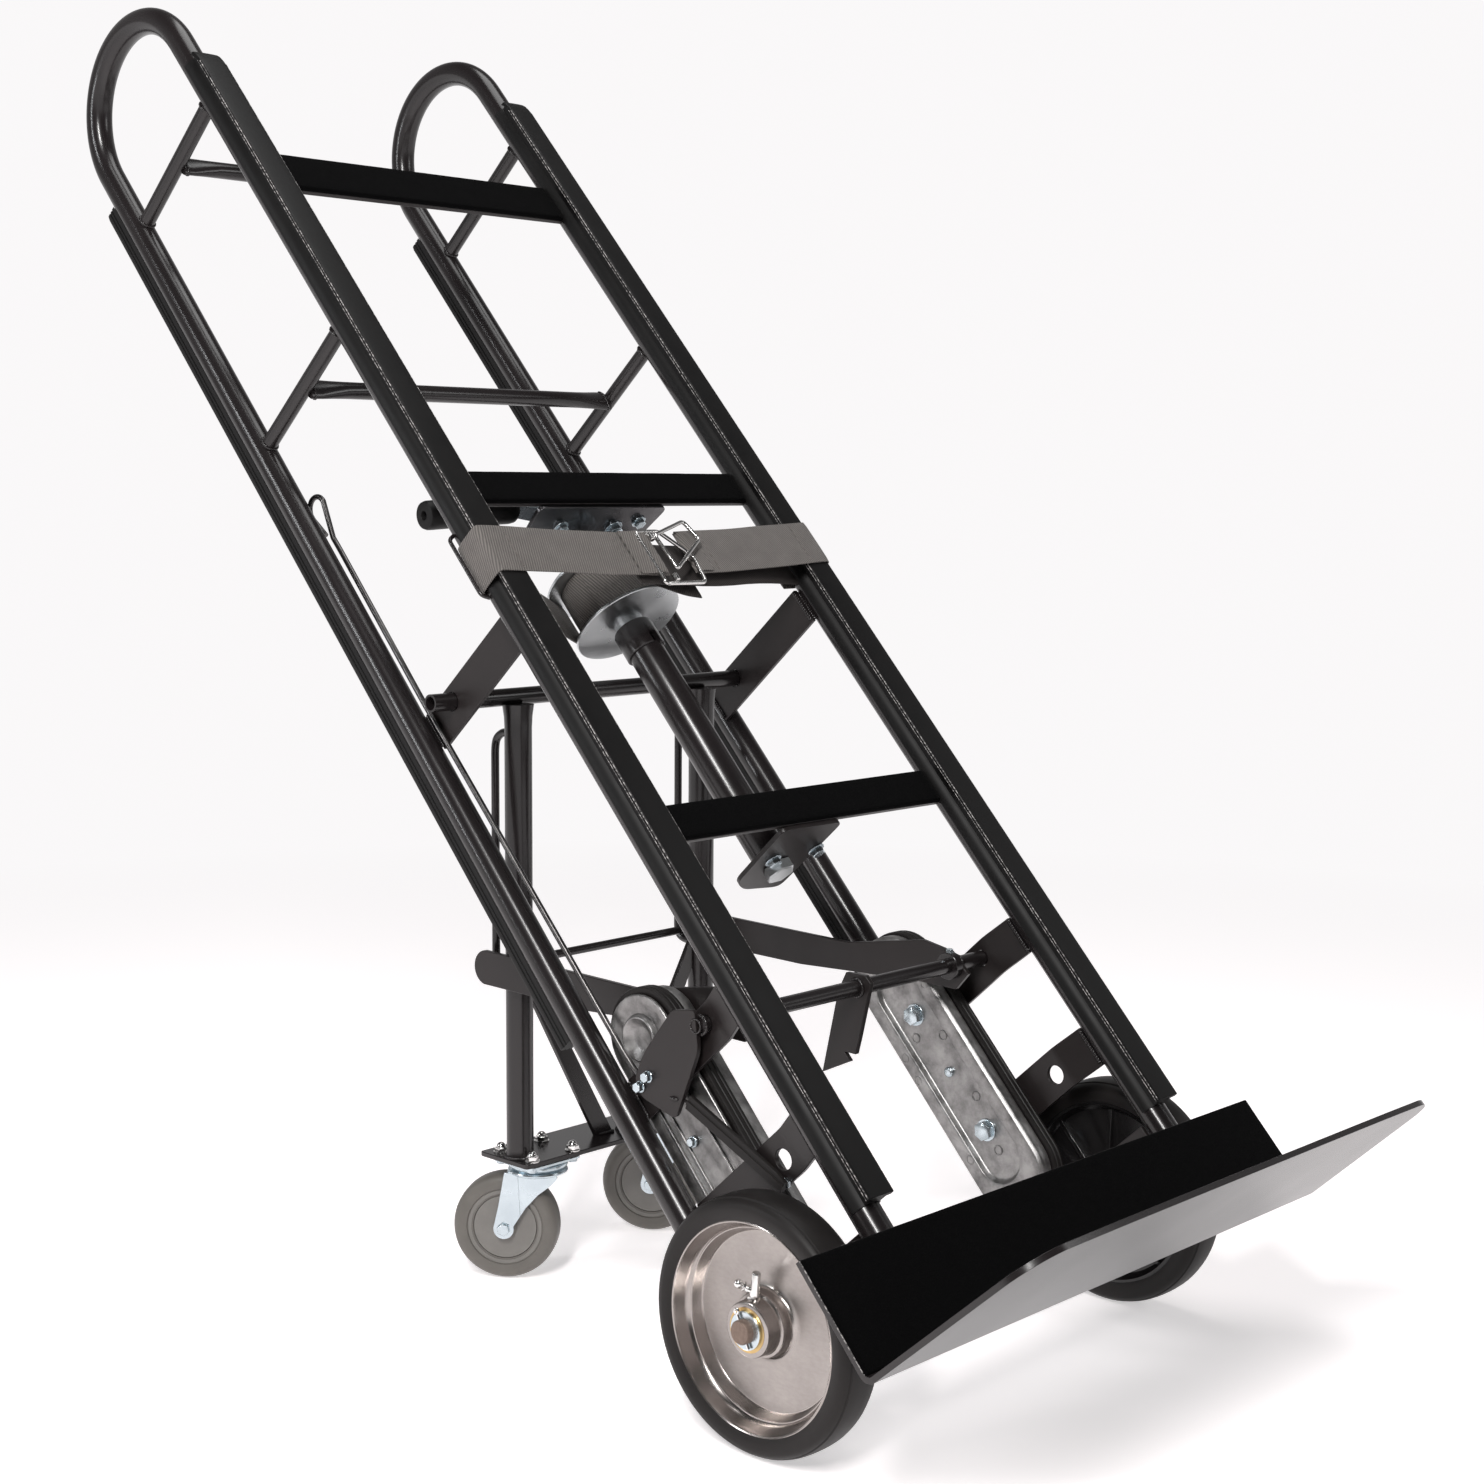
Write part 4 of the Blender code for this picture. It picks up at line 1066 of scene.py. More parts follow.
def climbers():
    for word, side in SIDES.items():
        # Inboard cheek with its shallow draughted channel.
        outside = ((157.0, 39.6), (156.0, 40.0), (146.2, 40.0), (145.6, 39.6), (143.3, 37.4), (143.0, 36.8))
        channel = ((143.0, 25.4), (143.6, 24.2), (147.6, 22.4), (148.7, 21.4), (149.0, 20.0))
        rings = [stadium_ring(side, x, GUIDE_S, half) for x, half in outside]
        rings += [stadium_ring(side, x, (70.0, 248.0), half) for x, half in channel]
        cheek = loft(rings)
        levels = [(174.4, 36.4), (175.0, 37.0), (177.2, 37.0), (178.0, 36.2), (178.0, 30.0), (177.2, 28.6)]
        flange = loft([stadium_ring(side, x, GUIDE_S, half) for x, half in levels])
        dish = lathe([(16.5, 4.0), (13.0, -1.5), (12.0, -2.6), (4.0, -2.6)],
                     on_rail(side * 177.0, GUIDE_S[1], GUIDE_N), ACROSS * side, 40)
        flange = cut(flange, [dish], "cast")
        cone = [(22.0, 175.2), (20.6, 178.4), (19.0, 181.4), (17.8, 181.9), (16.8, 181.4), (10.5, 176.4)]
        cone += [(9.0, 175.9), (0.5, 175.8)]
        dished = lathe(cone, on_rail(0, GUIDE_S[1], GUIDE_N), ACROSS * side, 56)
        core = block(span(side, (156, 175)), (92, 226), (GUIDE_N - 27, GUIDE_N + 27))
        pins = [rod(on_rail(side * 156, s, GUIDE_N), on_rail(side * 175, s, GUIDE_N), 6.1) for s in GUIDE_S]
        ribs = []
        rib_s = (GUIDE_S[0] - 4, GUIDE_S[1] - 26)
        for n, high in ((GUIDE_N - 22, 1.7), (GUIDE_N - 13, 1.2), (GUIDE_N + 17, 1.5)):
            ribs.append(block(span(side, (177.2, 178.0 + high)), rib_s, (n - 1.4, n + 1.4)))
        piece(f"climber_casting_{word}", fused([cheek, flange, core, dished, *pins]), "cast",
              nodes=[f"climber_guide_{word}"], bevel=0.5)
        piece(f"casting_ribs_{word}", fused(ribs), "cast", bevel=0.7)
        climber_fasteners(word, side)
        belt(word, side)
        for level, s in zip(("lower", "upper"), GUIDE_S):
            profile = [(6.4, -7.4), (9.5, -7.4), (11, -5.6), (25, -5.6), (27, -7.4), (PULLEY_R, -7.4)]
            profile = there_and_back(profile + [(PULLEY_R, -6.4), (28.2, -2.4), (28.2, 0)])
            pulley = turned(profile, on_rail(side * 165.6, s, GUIDE_N), ACROSS * side, 56)
            piece(f"pulley_{level}_{word}_turned", pulley, "cast", f"pulley_{level}_{word}",
                  [f"climber_pulley_{level}_{word}"])


def climber_fasteners(word, side):
    """Bolts in the channel's floor and the round marks left by the die's ejectors."""
    inward = ACROSS * -side
    floor = 149.0
    bolts = []
    for s in (222.0, 97.0):
        bolts += bolt_head(on_rail(side * floor, s, GUIDE_N + 1), inward, 15.4, 6.8, 10.4)
    bolts.append(lathe([(4.8, 0), (4.8, 2.2), (4.0, 3.2), (2.4, 3.7)],
                       on_rail(side * floor, 160, GUIDE_N), inward, 28))
    piece(f"casting_bolts_{word}", fused(bolts), "zinc", bevel=0.3)
    marks = []
    for s, n in ((190.0, -9.5), (127.0, -14.0), (76.0, -25.0), (205.0, -38.0)):
        marks.append(circle(on_rail(side * (floor - 0.1), s, n), ACROSS, 4.2, 28))
    for s, n in ((196.0, -57.0), (172.0, -58.0), (84.0, -54.0), (236.0, 8.0)):
        marks.append(circle(on_rail(side * (GUIDE_X[0] + 0.1), s, n), ACROSS, 3.8, 28))
    piece(f"ejector_marks_{word}", fused([sweep(ring, 0.7, 8, True) for ring in marks]), "cast")
    washers = []
    for s in (166.0, 70.0):
        washers += bolt_head(on_rail(side * 178.0, s, GUIDE_N - 5), ACROSS * side, 7.0, 3.2, 5.0)
    piece(f"casting_nuts_{word}", fused(washers), "zinc", bevel=0.3)


def belt(word, side):
    """Endless belt: a broad back with softened edges, moulded ridges on its outer face."""
    section = [(158.0, 39.0), (158.4, 41.6), (159.6, 42.4), (161.8, 42.5), (162.4, 41.8), (163.4, 41.8)]
    section += [(164.0, 42.5), (167.4, 42.5), (168.0, 41.8), (169.0, 41.8), (169.6, 42.5), (171.8, 42.4)]
    section += [(173.0, 41.6), (173.4, 39.0), (171.2, 32.4), (160.2, 32.4)]
    layers = [stadium(GUIDE_S, GUIDE_N, half, 24) for _, half in section]
    count = len(layers[0])
    rings = []
    for i in range(count):
        rings.append([on_rail(side * x, *layer[i]) for (x, _), layer in zip(section, layers)])
    piece(f"belt_{word}", loft(rings, closed=True), "rubber", nodes=[f"climber_belt_{word}"])


# ---------------------------------------------------------------- latch

def plate_yz(x, outline):
    return prism([at(x[0], y, z) for y, z in outline], Vector((x[1] - x[0], 0, 0)) * MM)


def latch():
    """Cross shaft, hook, link bars, lever and their hardware; all turn with the shaft."""
    hook = [(128, 318), (106, 318), (100, 312), (112, 262), (116, 247), (129, 247.5), (122, 240), (154, 225)]
    hook.append((137, 300))
    piece("latch_shaft_bar", rod(at(-190.2, *SHAFT), at(186, *SHAFT), SHAFT_R, 36), "paint", "latch",
          ["latch_shaft"], bevel=0.6)
    piece("latch_hook", plate_yz((3, 8), hook), "plate", "latch", bevel=0.7)
    welds = [ring_weld(at(x, *SHAFT), ACROSS, SHAFT_R + 0.6, 1.7) for x in (2.4, 8.6, -190.0)]
    welds.append(ring_weld(at(-195.0, *SHAFT), ACROSS, SHAFT_R - 1.4, 0.9))
    for word, side in SIDES.items():
        rear = arc(CROSS_ROD, 16, 80, -80, 14)
        outline = rear + [(420, 281), (300, 279), (160, 285), (112, 284), (98, 300), (118, 318)]
        outline += [(150, 324), (240, 309)]
        piece(f"link_bar_{word}_plate", plate_yz(span(side, LINK_X), outline), "plate", "latch",
              [f"link_bar_{word}"], bevel=0.7)
        collar = [(SHAFT_R - 0.2, 0), (11.8, 0), (12.4, 0.6), (12.4, 8.4), (11.8, 9), (SHAFT_R - 0.2, 9)]
        collar = turned(collar, at(side * 136.5, *SHAFT), ACROSS * -side, 40)
        piece(f"link_collar_{word}", collar, "paint", "latch")
        screw = bolt_head(at(side * 132, SHAFT[0], SHAFT[1] + 12), UPWARD, 6.0, 3.6, turn=0.1)
        piece(f"collar_screw_{word}", fused(screw), "zinc", "latch", bevel=0.2)
        welds.append(ring_weld(at(side * 142.0, *SHAFT), ACROSS, SHAFT_R + 0.7, 1.9))
    piece("latch_welds", fused(welds), "paint", "latch")
    outline = [(117, 319), (143, 315), (175, 274), (186, 250), (178, 236), (138, 225), (130, 244), (113, 286)]
    outline = [(v.x / MM, v.y / MM) for v in soften([Vector((y, z, 0)) * MM for y, z in outline], 6, 4, True)]
    plate = plate_yz((-195, -190.5), outline)
    piece("latch_lever_plate", plate, "plate", "latch", ["latch_lever"], bevel=0.7)
    bolts = []
    for y, z in ((169.0, 255.0), (178.0, 245.0)):
        bolts += bolt_head(at(-195, y, z), ACROSS * -1, 8.0, 4.6, 5.2)
    piece("lever_bolts", fused(bolts), "zinc", "latch", bevel=0.25)
    piece("cross_rod_bar", rod(at(-137.6, *CROSS_ROD), at(137.6, *CROSS_ROD), 4.0, 24), "paint", "slot_rod",
          ["cross_rod"], bevel=0.4)


def release_wire():
    """Steel rod up the inside of the left rear rail, ending in a finger loop."""
    route = [(-187.2, 228, -33), (-187.2, 240, -39.5), (-187.2, 262, -41), (-187.2, 640, -47)]
    route += [(-176.2, 825, -57), (-175.5, 842, -58)]
    path = soften(on_rails(route), 14, 5)
    path += [on_rail(-175.5, s, n) for s, n in arc((877, -58), 12, 90, -100, 24)]
    path.append(on_rail(-175.5, 851, -65))
    piece("release_rod", sweep(path, 2.6, 16), "dark_zinc", "release", ["pull_rod"])


def tension_strap():
    """Rubber strap with a raised rib, hooked to the lever's tip and to the lower bracket."""
    start, end = Vector((189, -1)), Vector((83, 44))
    along = (end - start).normalized()
    square = Vector((-along.y, along.x))
    half = [(6.5, 0.4), (6.5, 3.6), (6.0, 4.2), (2.2, 4.4), (1.6, 5.6)]
    section = [(-6.5, 0.4), (-6.1, 0.0), (6.1, 0.0)] + half + mirrored(half[1:])
    rings = []
    count = 40
    for i in range(count + 1):
        t = i / count
        middle = start.lerp(end, t)
        pinch = 1.0 - 0.3 * max(0.0, 1 - (1 - t) * 9)
        bow = 1.2 * math.sin(math.pi * t)
        ring = []
        for across, height in section:
            place = middle + square * across * pinch
            ring.append(on_rail(-187.2 - height * 0.95 + bow * 0.2, place.x, place.y))
        rings.append(ring)
    strap = piece("rubber_tension_strap", loft(rings), "rubber", nodes=["tension_strap"], ride=False)
    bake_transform(strap)
    hook = [(-190, 188, -1), (-190.5, 193, -4), (-196.3, 196, -6), (-196.3, 200, -10)]
    wire = sweep(soften(on_rails(hook), 3), 1.4, 10)
    piece("strap_wire_hook", wire, "paint", "latch")
    stud = bolt_head(on_rail(-183.5, 86, 43), ACROSS * -1, 8.0, 3.4)
    piece("strap_stud", fused(stud), "zinc", bevel=0.25)


# ---------------------------------------------------------------- carriage

def legs():
    """Pivot tube and the legs with their bent guide rods; gives back their weld beads."""
    ends = [at(-PIVOT_END_X, *PIVOT), at(PIVOT_END_X, *PIVOT)]
    piece("pivot_pipe", pipe(ends, PIVOT_R, 1.8, 10, 36), "paint", "carriage", ["pivot_tube"])
    welds = []
    for word, side in SIDES.items():
        x = side * LEG_X
        foot, top = PLATE_Z[1], PIVOT[1]
        heights = [(foot - 0.5, 1.14), (foot + 3.5, 1.02), (foot + 9, 1.0)]
        heights += [(top - 26, 1.0), (top - 16, 1.04), (top - 5.5, 1.16)]
        path = [at(x, LEG_Y, z) for z, _ in heights]
        rings = sweep_rings(path, [LEG_R * scale for _, scale in heights], 40)
        route = [(LEG_Y + 4, 513), (438, 511), (446, 505), (GUIDE_ROD_Y, 496)]
        route += [(GUIDE_ROD_Y, 297), (446, 290), (438, 286.5), (LEG_Y + 4, 286)]
        bent = sweep(soften([at(x, y, z) for y, z in route], 6, 5), 3.75, 18)
        piece(f"leg_{word}_tube", fused([loft(rings), bent]), "paint", "carriage", [f"leg_{word}"])
        welds.append(ring_weld(at(x, LEG_Y, PLATE_Z[1] + 0.8), UPWARD, LEG_R + 0.6, 2.1))
        for z in (513.0, 286.0):
            welds.append(ring_weld(at(x, LEG_Y + LEG_R - 0.4, z), Vector((0, 1, 0)), 4.2, 1.5))
    return welds


def caster_plate():
    """The plate under the legs with its two flat braces; gives back their weld beads."""
    corners = [(-PLATE_X, PLATE_Y[0]), (PLATE_X, PLATE_Y[0]), (PLATE_X, PLATE_Y[1]), (-PLATE_X, PLATE_Y[1])]
    outline = soften([at(x, y, PLATE_Z[0]) for x, y in corners], 4, 4, True)
    shapes = [prism(outline, UPWARD * (PLATE_Z[1] - PLATE_Z[0]) * MM)]
    welds = []
    for side in SIDES.values():
        brace = [(side * 2, 118), (side * 24, 118), (side * 105, 265), (side * 105, 297)]
        shapes.append(prism([at(x, LEG_Y - 2.5, z) for x, z in brace], Vector((0, 5, 0)) * MM))
        welds.append(bead([at(side * x, LEG_Y - 3.2, 121) for x in (3, 22)], 1.8))
    piece("caster_plate", fused(shapes), "paint", "carriage", ["carriage_base"], bevel=0.7)
    return welds


def caster_fixings():
    """The casters' top plates, their bolts and the cap nuts over them."""
    nuts, plates, heads = [], [], []
    for side in SIDES.values():
        centre = (side * 97.0, 417.0)
        pad = [(-32, -28), (32, -28), (32, 28), (-32, 28)]
        rim = soften([at(centre[0] + x, centre[1] + y, PLATE_Z[0] - 2.9) for x, y in pad], 8, 5, True)
        plates.append(prism(rim, UPWARD * 2.6 * MM))
        for x in (-25, 25):
            for y in (-21.5, 21.5):
                nuts += acorn_nut(at(centre[0] + x, centre[1] + y, PLATE_Z[1]), UPWARD, turn=x + y)
                heads += bolt_head(at(centre[0] + x, centre[1] + y, PLATE_Z[0] - 2.9), UPWARD * -1, 8.0, 3.2)
    piece("caster_nuts", fused(nuts), "chrome", "carriage")
    piece("caster_pads", fused(plates), "zinc", "carriage", bevel=0.5)
    piece("caster_bolt_heads", fused(heads), "zinc", "carriage", bevel=0.2)


def carriage():
    piece("carriage_welds", fused(legs() + caster_plate()), "paint", "carriage")
    caster_fixings()


def fork(word, swivel, back, sideways, trail):
    """Pressed fork: race rings, a crown and two cheeks."""
    race = [(20.0, 0.0), (25.4, 0.3), (27.6, 1.4), (28.2, 2.8), (27.4, 4.4), (24.8, 5.4), (24.0, 6.0)]
    race += [(24.4, 6.6), (27.4, 7.2), (28.2, 8.4), (28.0, 10.2), (26.6, 11.4), (18.0, 12.2)]
    shapes = [lathe(race, swivel + UPWARD * 100.0 * MM, UPWARD, 64)]
    # Each cheek is a flat strip over the axle and, past a crease, a web bent in towards the race.
    crease = [(15.3, 103.0), (13.2, 62.0)]
    web = [(-20.0, 103.0), (-21.0, 98.0), (-16.0, 92.0), (-3.0, 82.0), (8.0, 70.0)]
    strip = [(trail + x, CASTER_R + z) for x, z in arc((0, 0), 9.6, 165, 370, 16)]
    strip += [(34.0, 70.0), (30.0, 92.0), (29.0, 98.0), (28.0, 103.0)]
    for sign in (-1, 1):
        for outline, bend in ((web + crease[::-1], 0.11), (crease + strip, 0.0)):
            cheek = []
            for along, z in outline:
                across = 16.4 - bend * max(0.0, 15.3 - along)
                cheek.append(swivel + (back * along + sideways * sign * across + UPWARD * z) * MM)
            shapes.append(prism(cheek, sideways * sign * 2.6 * MM))
    crown = []
    for along, across in ((-17, -19), (26, -19), (26, 19), (-17, 19)):
        crown.append(swivel + (back * along + sideways * across + UPWARD * 101.6) * MM)
    shapes.append(prism(soften(crown, 5, 4, True), UPWARD * 2.6 * MM))
    piece(f"fork_{word}_pressed", fused(shapes), "zinc", f"fork_{word}", [f"caster_fork_{word}"], bevel=0.8)


def caster_axle(word, centre, sideways):
    shapes = [rod(centre - sideways * 19 * MM, centre + sideways * 19 * MM, 4.2)]
    for sign in (-1, 1):
        shapes += bolt_head(centre + sideways * sign * 18.9 * MM, sideways * sign, 10.5, 3.4)
    piece(f"caster_axle_{word}", fused(shapes), "zinc", f"fork_{word}", bevel=0.3)


def caster_wheel(word, centre, sideways):
    """Moulded hub and the tread round it."""
    tread = [(30.0, -11.5), (35.4, -12.2), (36.2, -13.2), (41.0, -14.0), (45.4, -13.2), (48.2, -10.6)]
    tread = turned(there_and_back(tread + [(49.3, -6.0), (CASTER_R, 0)]), centre, sideways, 72)
    piece(f"caster_tyre_{word}", tread, "tread", f"caster_{word}", [f"caster_wheel_{word}"])
    hub = [(4.6, -15.2), (9.5, -15.2), (10.4, -14.2), (11.4, -11.4), (29.4, -11.4), (29.9, -7.0)]
    hub = there_and_back(hub + [(31.1, -7.0), (31.6, -12.2), (34.6, -12.6), (35.6, -11.6)])
    piece(f"caster_hub_{word}", turned(hub, centre, sideways, 72), "grey_hub", f"caster_{word}")


def casters():
    back = Vector((*TRAIL, 0)).normalized()
    sideways = Vector((-back.y, back.x, 0))
    trail = Vector(TRAIL).length
    for word, side in SIDES.items():
        swivel = Vector((side * SWIVEL[0], SWIVEL[1] + AXLE_Y, 0)) * MM
        centre = swivel + (back * trail + UPWARD * CASTER_R) * MM
        fork(word, swivel, back, sideways, trail)
        caster_axle(word, centre, sideways)
        caster_wheel(word, centre, sideways)


# ---------------------------------------------------------------- ratchet

def along_reel(s):
    return on_rail(0, s, REEL_N)


def ratchet():
    """Brackets on the two slats, and the reel, tube and lever between them."""
    upper = [(-92, 107), (70, 107), (54, 20), (-78, 20)]
    lower = [(-37, 107), (41, 107), (39, 12), (33, 8), (-14, 14), (-33, 28)]
    plates = (("upper", UPPER_PLATE_S, upper, "sheet"), ("lower", LOWER_PLATE_S, lower, "plate"))
    for name, s, outline, look in plates:
        points = soften([on_rail(x, s[0], n) for x, n in outline], 9, 5, True)
        hole = rod(along_reel(s[0] - 5), along_reel(s[1] + 5), 8.5, 32)
        shape = cut(prism(points, UP_RAIL * (s[1] - s[0]) * MM), [hole])
        piece(f"reel_bracket_{name}", shape, look, nodes=[f"ratchet_plate_{name}"], bevel=0.5)
    bolts = []
    for face, out in ((1, UP_RAIL), (0, UP_RAIL * -1)):
        for x, n, flats in ((17, 79, 13.0), (-51, 82, 10.0), (44, 88, 10.0)):
            bolts += bolt_head(on_rail(x, UPPER_PLATE_S[face], n), out, flats, flats * 0.42, flats * 0.72)
        for x, n in ((-13, 60), (38, 67)):
            bolts += bolt_head(on_rail(x, LOWER_PLATE_S[face], n), out, 11.0, 5.0, 8.0)
    piece("ratchet_bolts", fused(bolts), "zinc", bevel=0.3)
    reel_flanges()
    ratchet_wheel()
    reel_tube()
    webbing_coil()
    lever()


def reel_flanges():
    """Flanges, core, journals and end nut of the reel, each profile's heights measured up the rails."""
    flange_low = [(12.5, 640.0), (52.4, 640.0), (53.0, 640.6), (53.0, 642.6), (52.4, 643.1), (12.5, 643.1)]
    flange_high = [(12.5, 694.0), (55.4, 694.0), (56.0, 694.6), (56.0, 696.9), (55.4, 697.5), (12.5, 697.5)]
    shapes = [turned(flange, along_reel(0), UP_RAIL, 80) for flange in (flange_low, flange_high)]
    shapes.append(lathe([(13, 634), (14, 635), (14, 694)], along_reel(0), UP_RAIL, 40))
    shapes.append(lathe([(8, 697), (8, 747), (7.2, 748)], along_reel(0), UP_RAIL, 32))
    shapes.append(lathe([(8, 352), (8, 373)], along_reel(0), UP_RAIL, 32))
    shapes.append(hexagon(along_reel(361.5), UP_RAIL * -1, 24.0, 10.0, 1.2))
    shapes.append(turned([(8.0, 700.0), (19.0, 700.0), (20.0, 701.0), (20.0, 708.0), (8.0, 708.0)],
                         along_reel(0), UP_RAIL, 48))
    piece("reel_flanges", fused(shapes), "disc", "reel", ["ratchet_reel"])


def ratchet_wheel():
    teeth = []
    for k in range(16):
        a = 2 * math.pi * k / 16
        out = ACROSS * math.cos(a) + TO_LOAD * math.sin(a)
        flank = ACROSS * -math.sin(a) + TO_LOAD * math.cos(a)
        corners = []
        for r, across in ((16, -3), (25, -0.6), (25, 0.6), (16, 3.2)):
            corners.append(along_reel(709.0) + (out * r + flank * across) * MM)
        teeth.append(prism(corners, UP_RAIL * 5 * MM))
    teeth.append(lathe([(17.6, 709.0), (17.6, 714.0)], along_reel(0), UP_RAIL, 40))
    piece("ratchet_wheel", fused(teeth), "zinc", "reel", bevel=0.3)


def reel_tube():
    """The long tube below the reel, and the notched collar that joins them."""
    collar = [(14.0, 604.0), (18.6, 604.0), (19.4, 605.0), (19.4, 631.0), (18.4, 633.0), (14.0, 633.0)]
    notch = block((-4.5, 4.5), (601.0, 616.0), (REEL_N + 12, REEL_N + 24))
    shape = cut(turned(collar, along_reel(0), UP_RAIL, 48), [notch], "paint")
    piece("reel_tube", shape, "paint", "reel")
    tube = [(15.2, 372.5), (16.6, 372.5), (REEL_TUBE_R, 373.2), (REEL_TUBE_R, 606.0), (15.2, 606.0)]
    piece("reel_tube_long", turned(tube, along_reel(0), UP_RAIL, 48), "paint", "reel")


def webbing_coil():
    """The webbing wound on the reel; its outermost turn ends where the left strap leaves it."""
    path = []
    turns = 15
    steps = 40
    start = math.atan2(7.6, -21.6)
    for i in range(turns * steps + 1):
        a = start - 2 * math.pi * (turns - i / steps)
        r = ROLL_R - 0.9 - (turns - i / steps) * 1.98
        path.append((r * math.cos(a), REEL_N + r * math.sin(a), ROLL_S))
    piece("webbing_coil", ribbon(path, WEB_W, 1.7, 2), "webbing", "reel", ["webbing_roll"])


def lever():
    """Crank ring, tapering shank and a round hand grip with a hole in its end."""
    ring = [(8.4, 739.5), (19.4, 739.5), (20.0, 740.1), (20.0, 744.4), (19.4, 745.0), (8.4, 745.0)]
    shapes = [turned(ring, along_reel(0), UP_RAIL, 48)]
    crank = [(-14, 741, 40), (-14, 741, 60), (-52, 757, 76), (-52, 757, 58)]
    tang = [(-50, 757, 58), (-50, 757, 76), (-90, 762, 76), (-90, 762, 62)]
    for outline in (crank, tang):
        shapes.append(prism(on_rails(outline), UP_RAIL * 4 * MM))
    piece("lever_shank", fused(shapes), "zinc", "reel_handle", ["ratchet_lever"], bevel=0.6)
    near, far = on_rail(-80, 764, 69.2), on_rail(-181, 764, 61)
    axis = far - near
    length = axis.length / MM
    profile = [(7.5, 0), (10.6, 1.2), (12.6, 4.0), (13.3, 9.0), (13.0, length * 0.45), (13.3, length - 9)]
    profile += [(13.2, length - 3.5), (12.2, length - 0.8), (10.6, length), (4.4, length)]
    profile += [(4.0, length - 0.6), (3.8, length - 14), (0.4, length - 14.5)]
    piece("lever_grip", lathe(profile, near, axis, 48), "plastic", "reel_handle")


# ---------------------------------------------------------------- webbing

def smooth_route(points, step=4.0):
    """Points of (x, n, middle s) resampled evenly and eased at the corners."""
    route = [Vector(point) for point in points]
    for _ in range(2):
        eased = [route[0]]
        for a, b in zip(route, route[1:]):
            eased += [a.lerp(b, 0.25), a.lerp(b, 0.75)]
        route = eased + [route[-1]]
    dense = [route[0]]
    for a, b in zip(route, route[1:]):
        pieces = max(1, round((b - a).length / step))
        dense += [a.lerp(b, k / pieces) for k in range(1, pieces + 1)]
    return dense


def ribbon(points, width, thick, columns=10):
    """Woven tape along (x, n, middle s) points, carrying weave coordinates in metres."""
    bm = bmesh.new()
    weave = bm.verts.layers.float_vector.new("weave")
    half = width / 2
    outline = [(half, -0.5), (half, 0.5)]
    outline += [(half - width * i / columns, 0.5) for i in range(1, columns)]
    outline += [(-half, 0.5), (-half, -0.5)]
    outline += [(-half + width * i / columns, -0.5) for i in range(1, columns)]
    loops = []
    travelled = 0.0
    for i, point in enumerate(points):
        here = Vector(point[:2])
        before = Vector(points[max(i - 1, 0)][:2])
        after = Vector(points[min(i + 1, len(points) - 1)][:2])
        along = (after - before).normalized()
        square = Vector((-along.y, along.x))
        travelled += (here - before).length
        loop = []
        for edge, layer in outline:
            thin = 0.55 if abs(edge) > half - 0.1 else 1.0
            offset = layer * thick * thin
            ripple = 0.25 * math.sin(travelled * 0.07 + edge * 0.05) if width > 30 and columns > 4 else 0.0
            place = here + square * (offset + ripple)
            vert = bm.verts.new(on_rail(place.x, point[2] + edge, place.y))
            vert[weave] = Vector((travelled, edge, 0)) * MM
            loop.append(vert)
        loops.append(loop)
    count = len(outline)
    for lower, upper in zip(loops, loops[1:]):
        for k in range(count):
            m = (k + 1) % count
            bm.faces.new((lower[k], lower[m], upper[m], upper[k]))
    bm.faces.new(reversed(loops[0]))
    bm.faces.new(loops[-1])
    return bm


def rail_wrap(side, s):
    """Webbing round the outside of one rail and its runner, from rear to front."""
    outer = TUBE_X + 14.75 + 1.5
    turn = arc((TUBE_X, FRONT_N), TUBE_R + 1.9, 270, 315, 3)
    points = [(side * x, n, s) for x, n in turn]
    points += [(side * outer, FRONT_N - 5, s), (side * outer, WEB_N - 4.5, s)]
    points += [(side * (outer - 1.2), WEB_N - 1.3, s), (side * (outer - 4.5), WEB_N, s)]
    return points


def stitches(name, x, middle):
    """A row of stitches across the webbing's face."""
    count = 18
    pitch = 44 / count
    face = WEB_N + WEB_T / 2 + 0.1
    shapes = []
    for i in range(count):
        low = middle - 22 + pitch * i
        arch = ((0, -0.3), (0.31, 0.25), (0.62, -0.3))
        path = [on_rail(x, low + pitch * along, face + lift) for along, lift in arch]
        shapes.append(sweep(path, 0.42, 6))
    piece(name, fused(shapes), "thread")


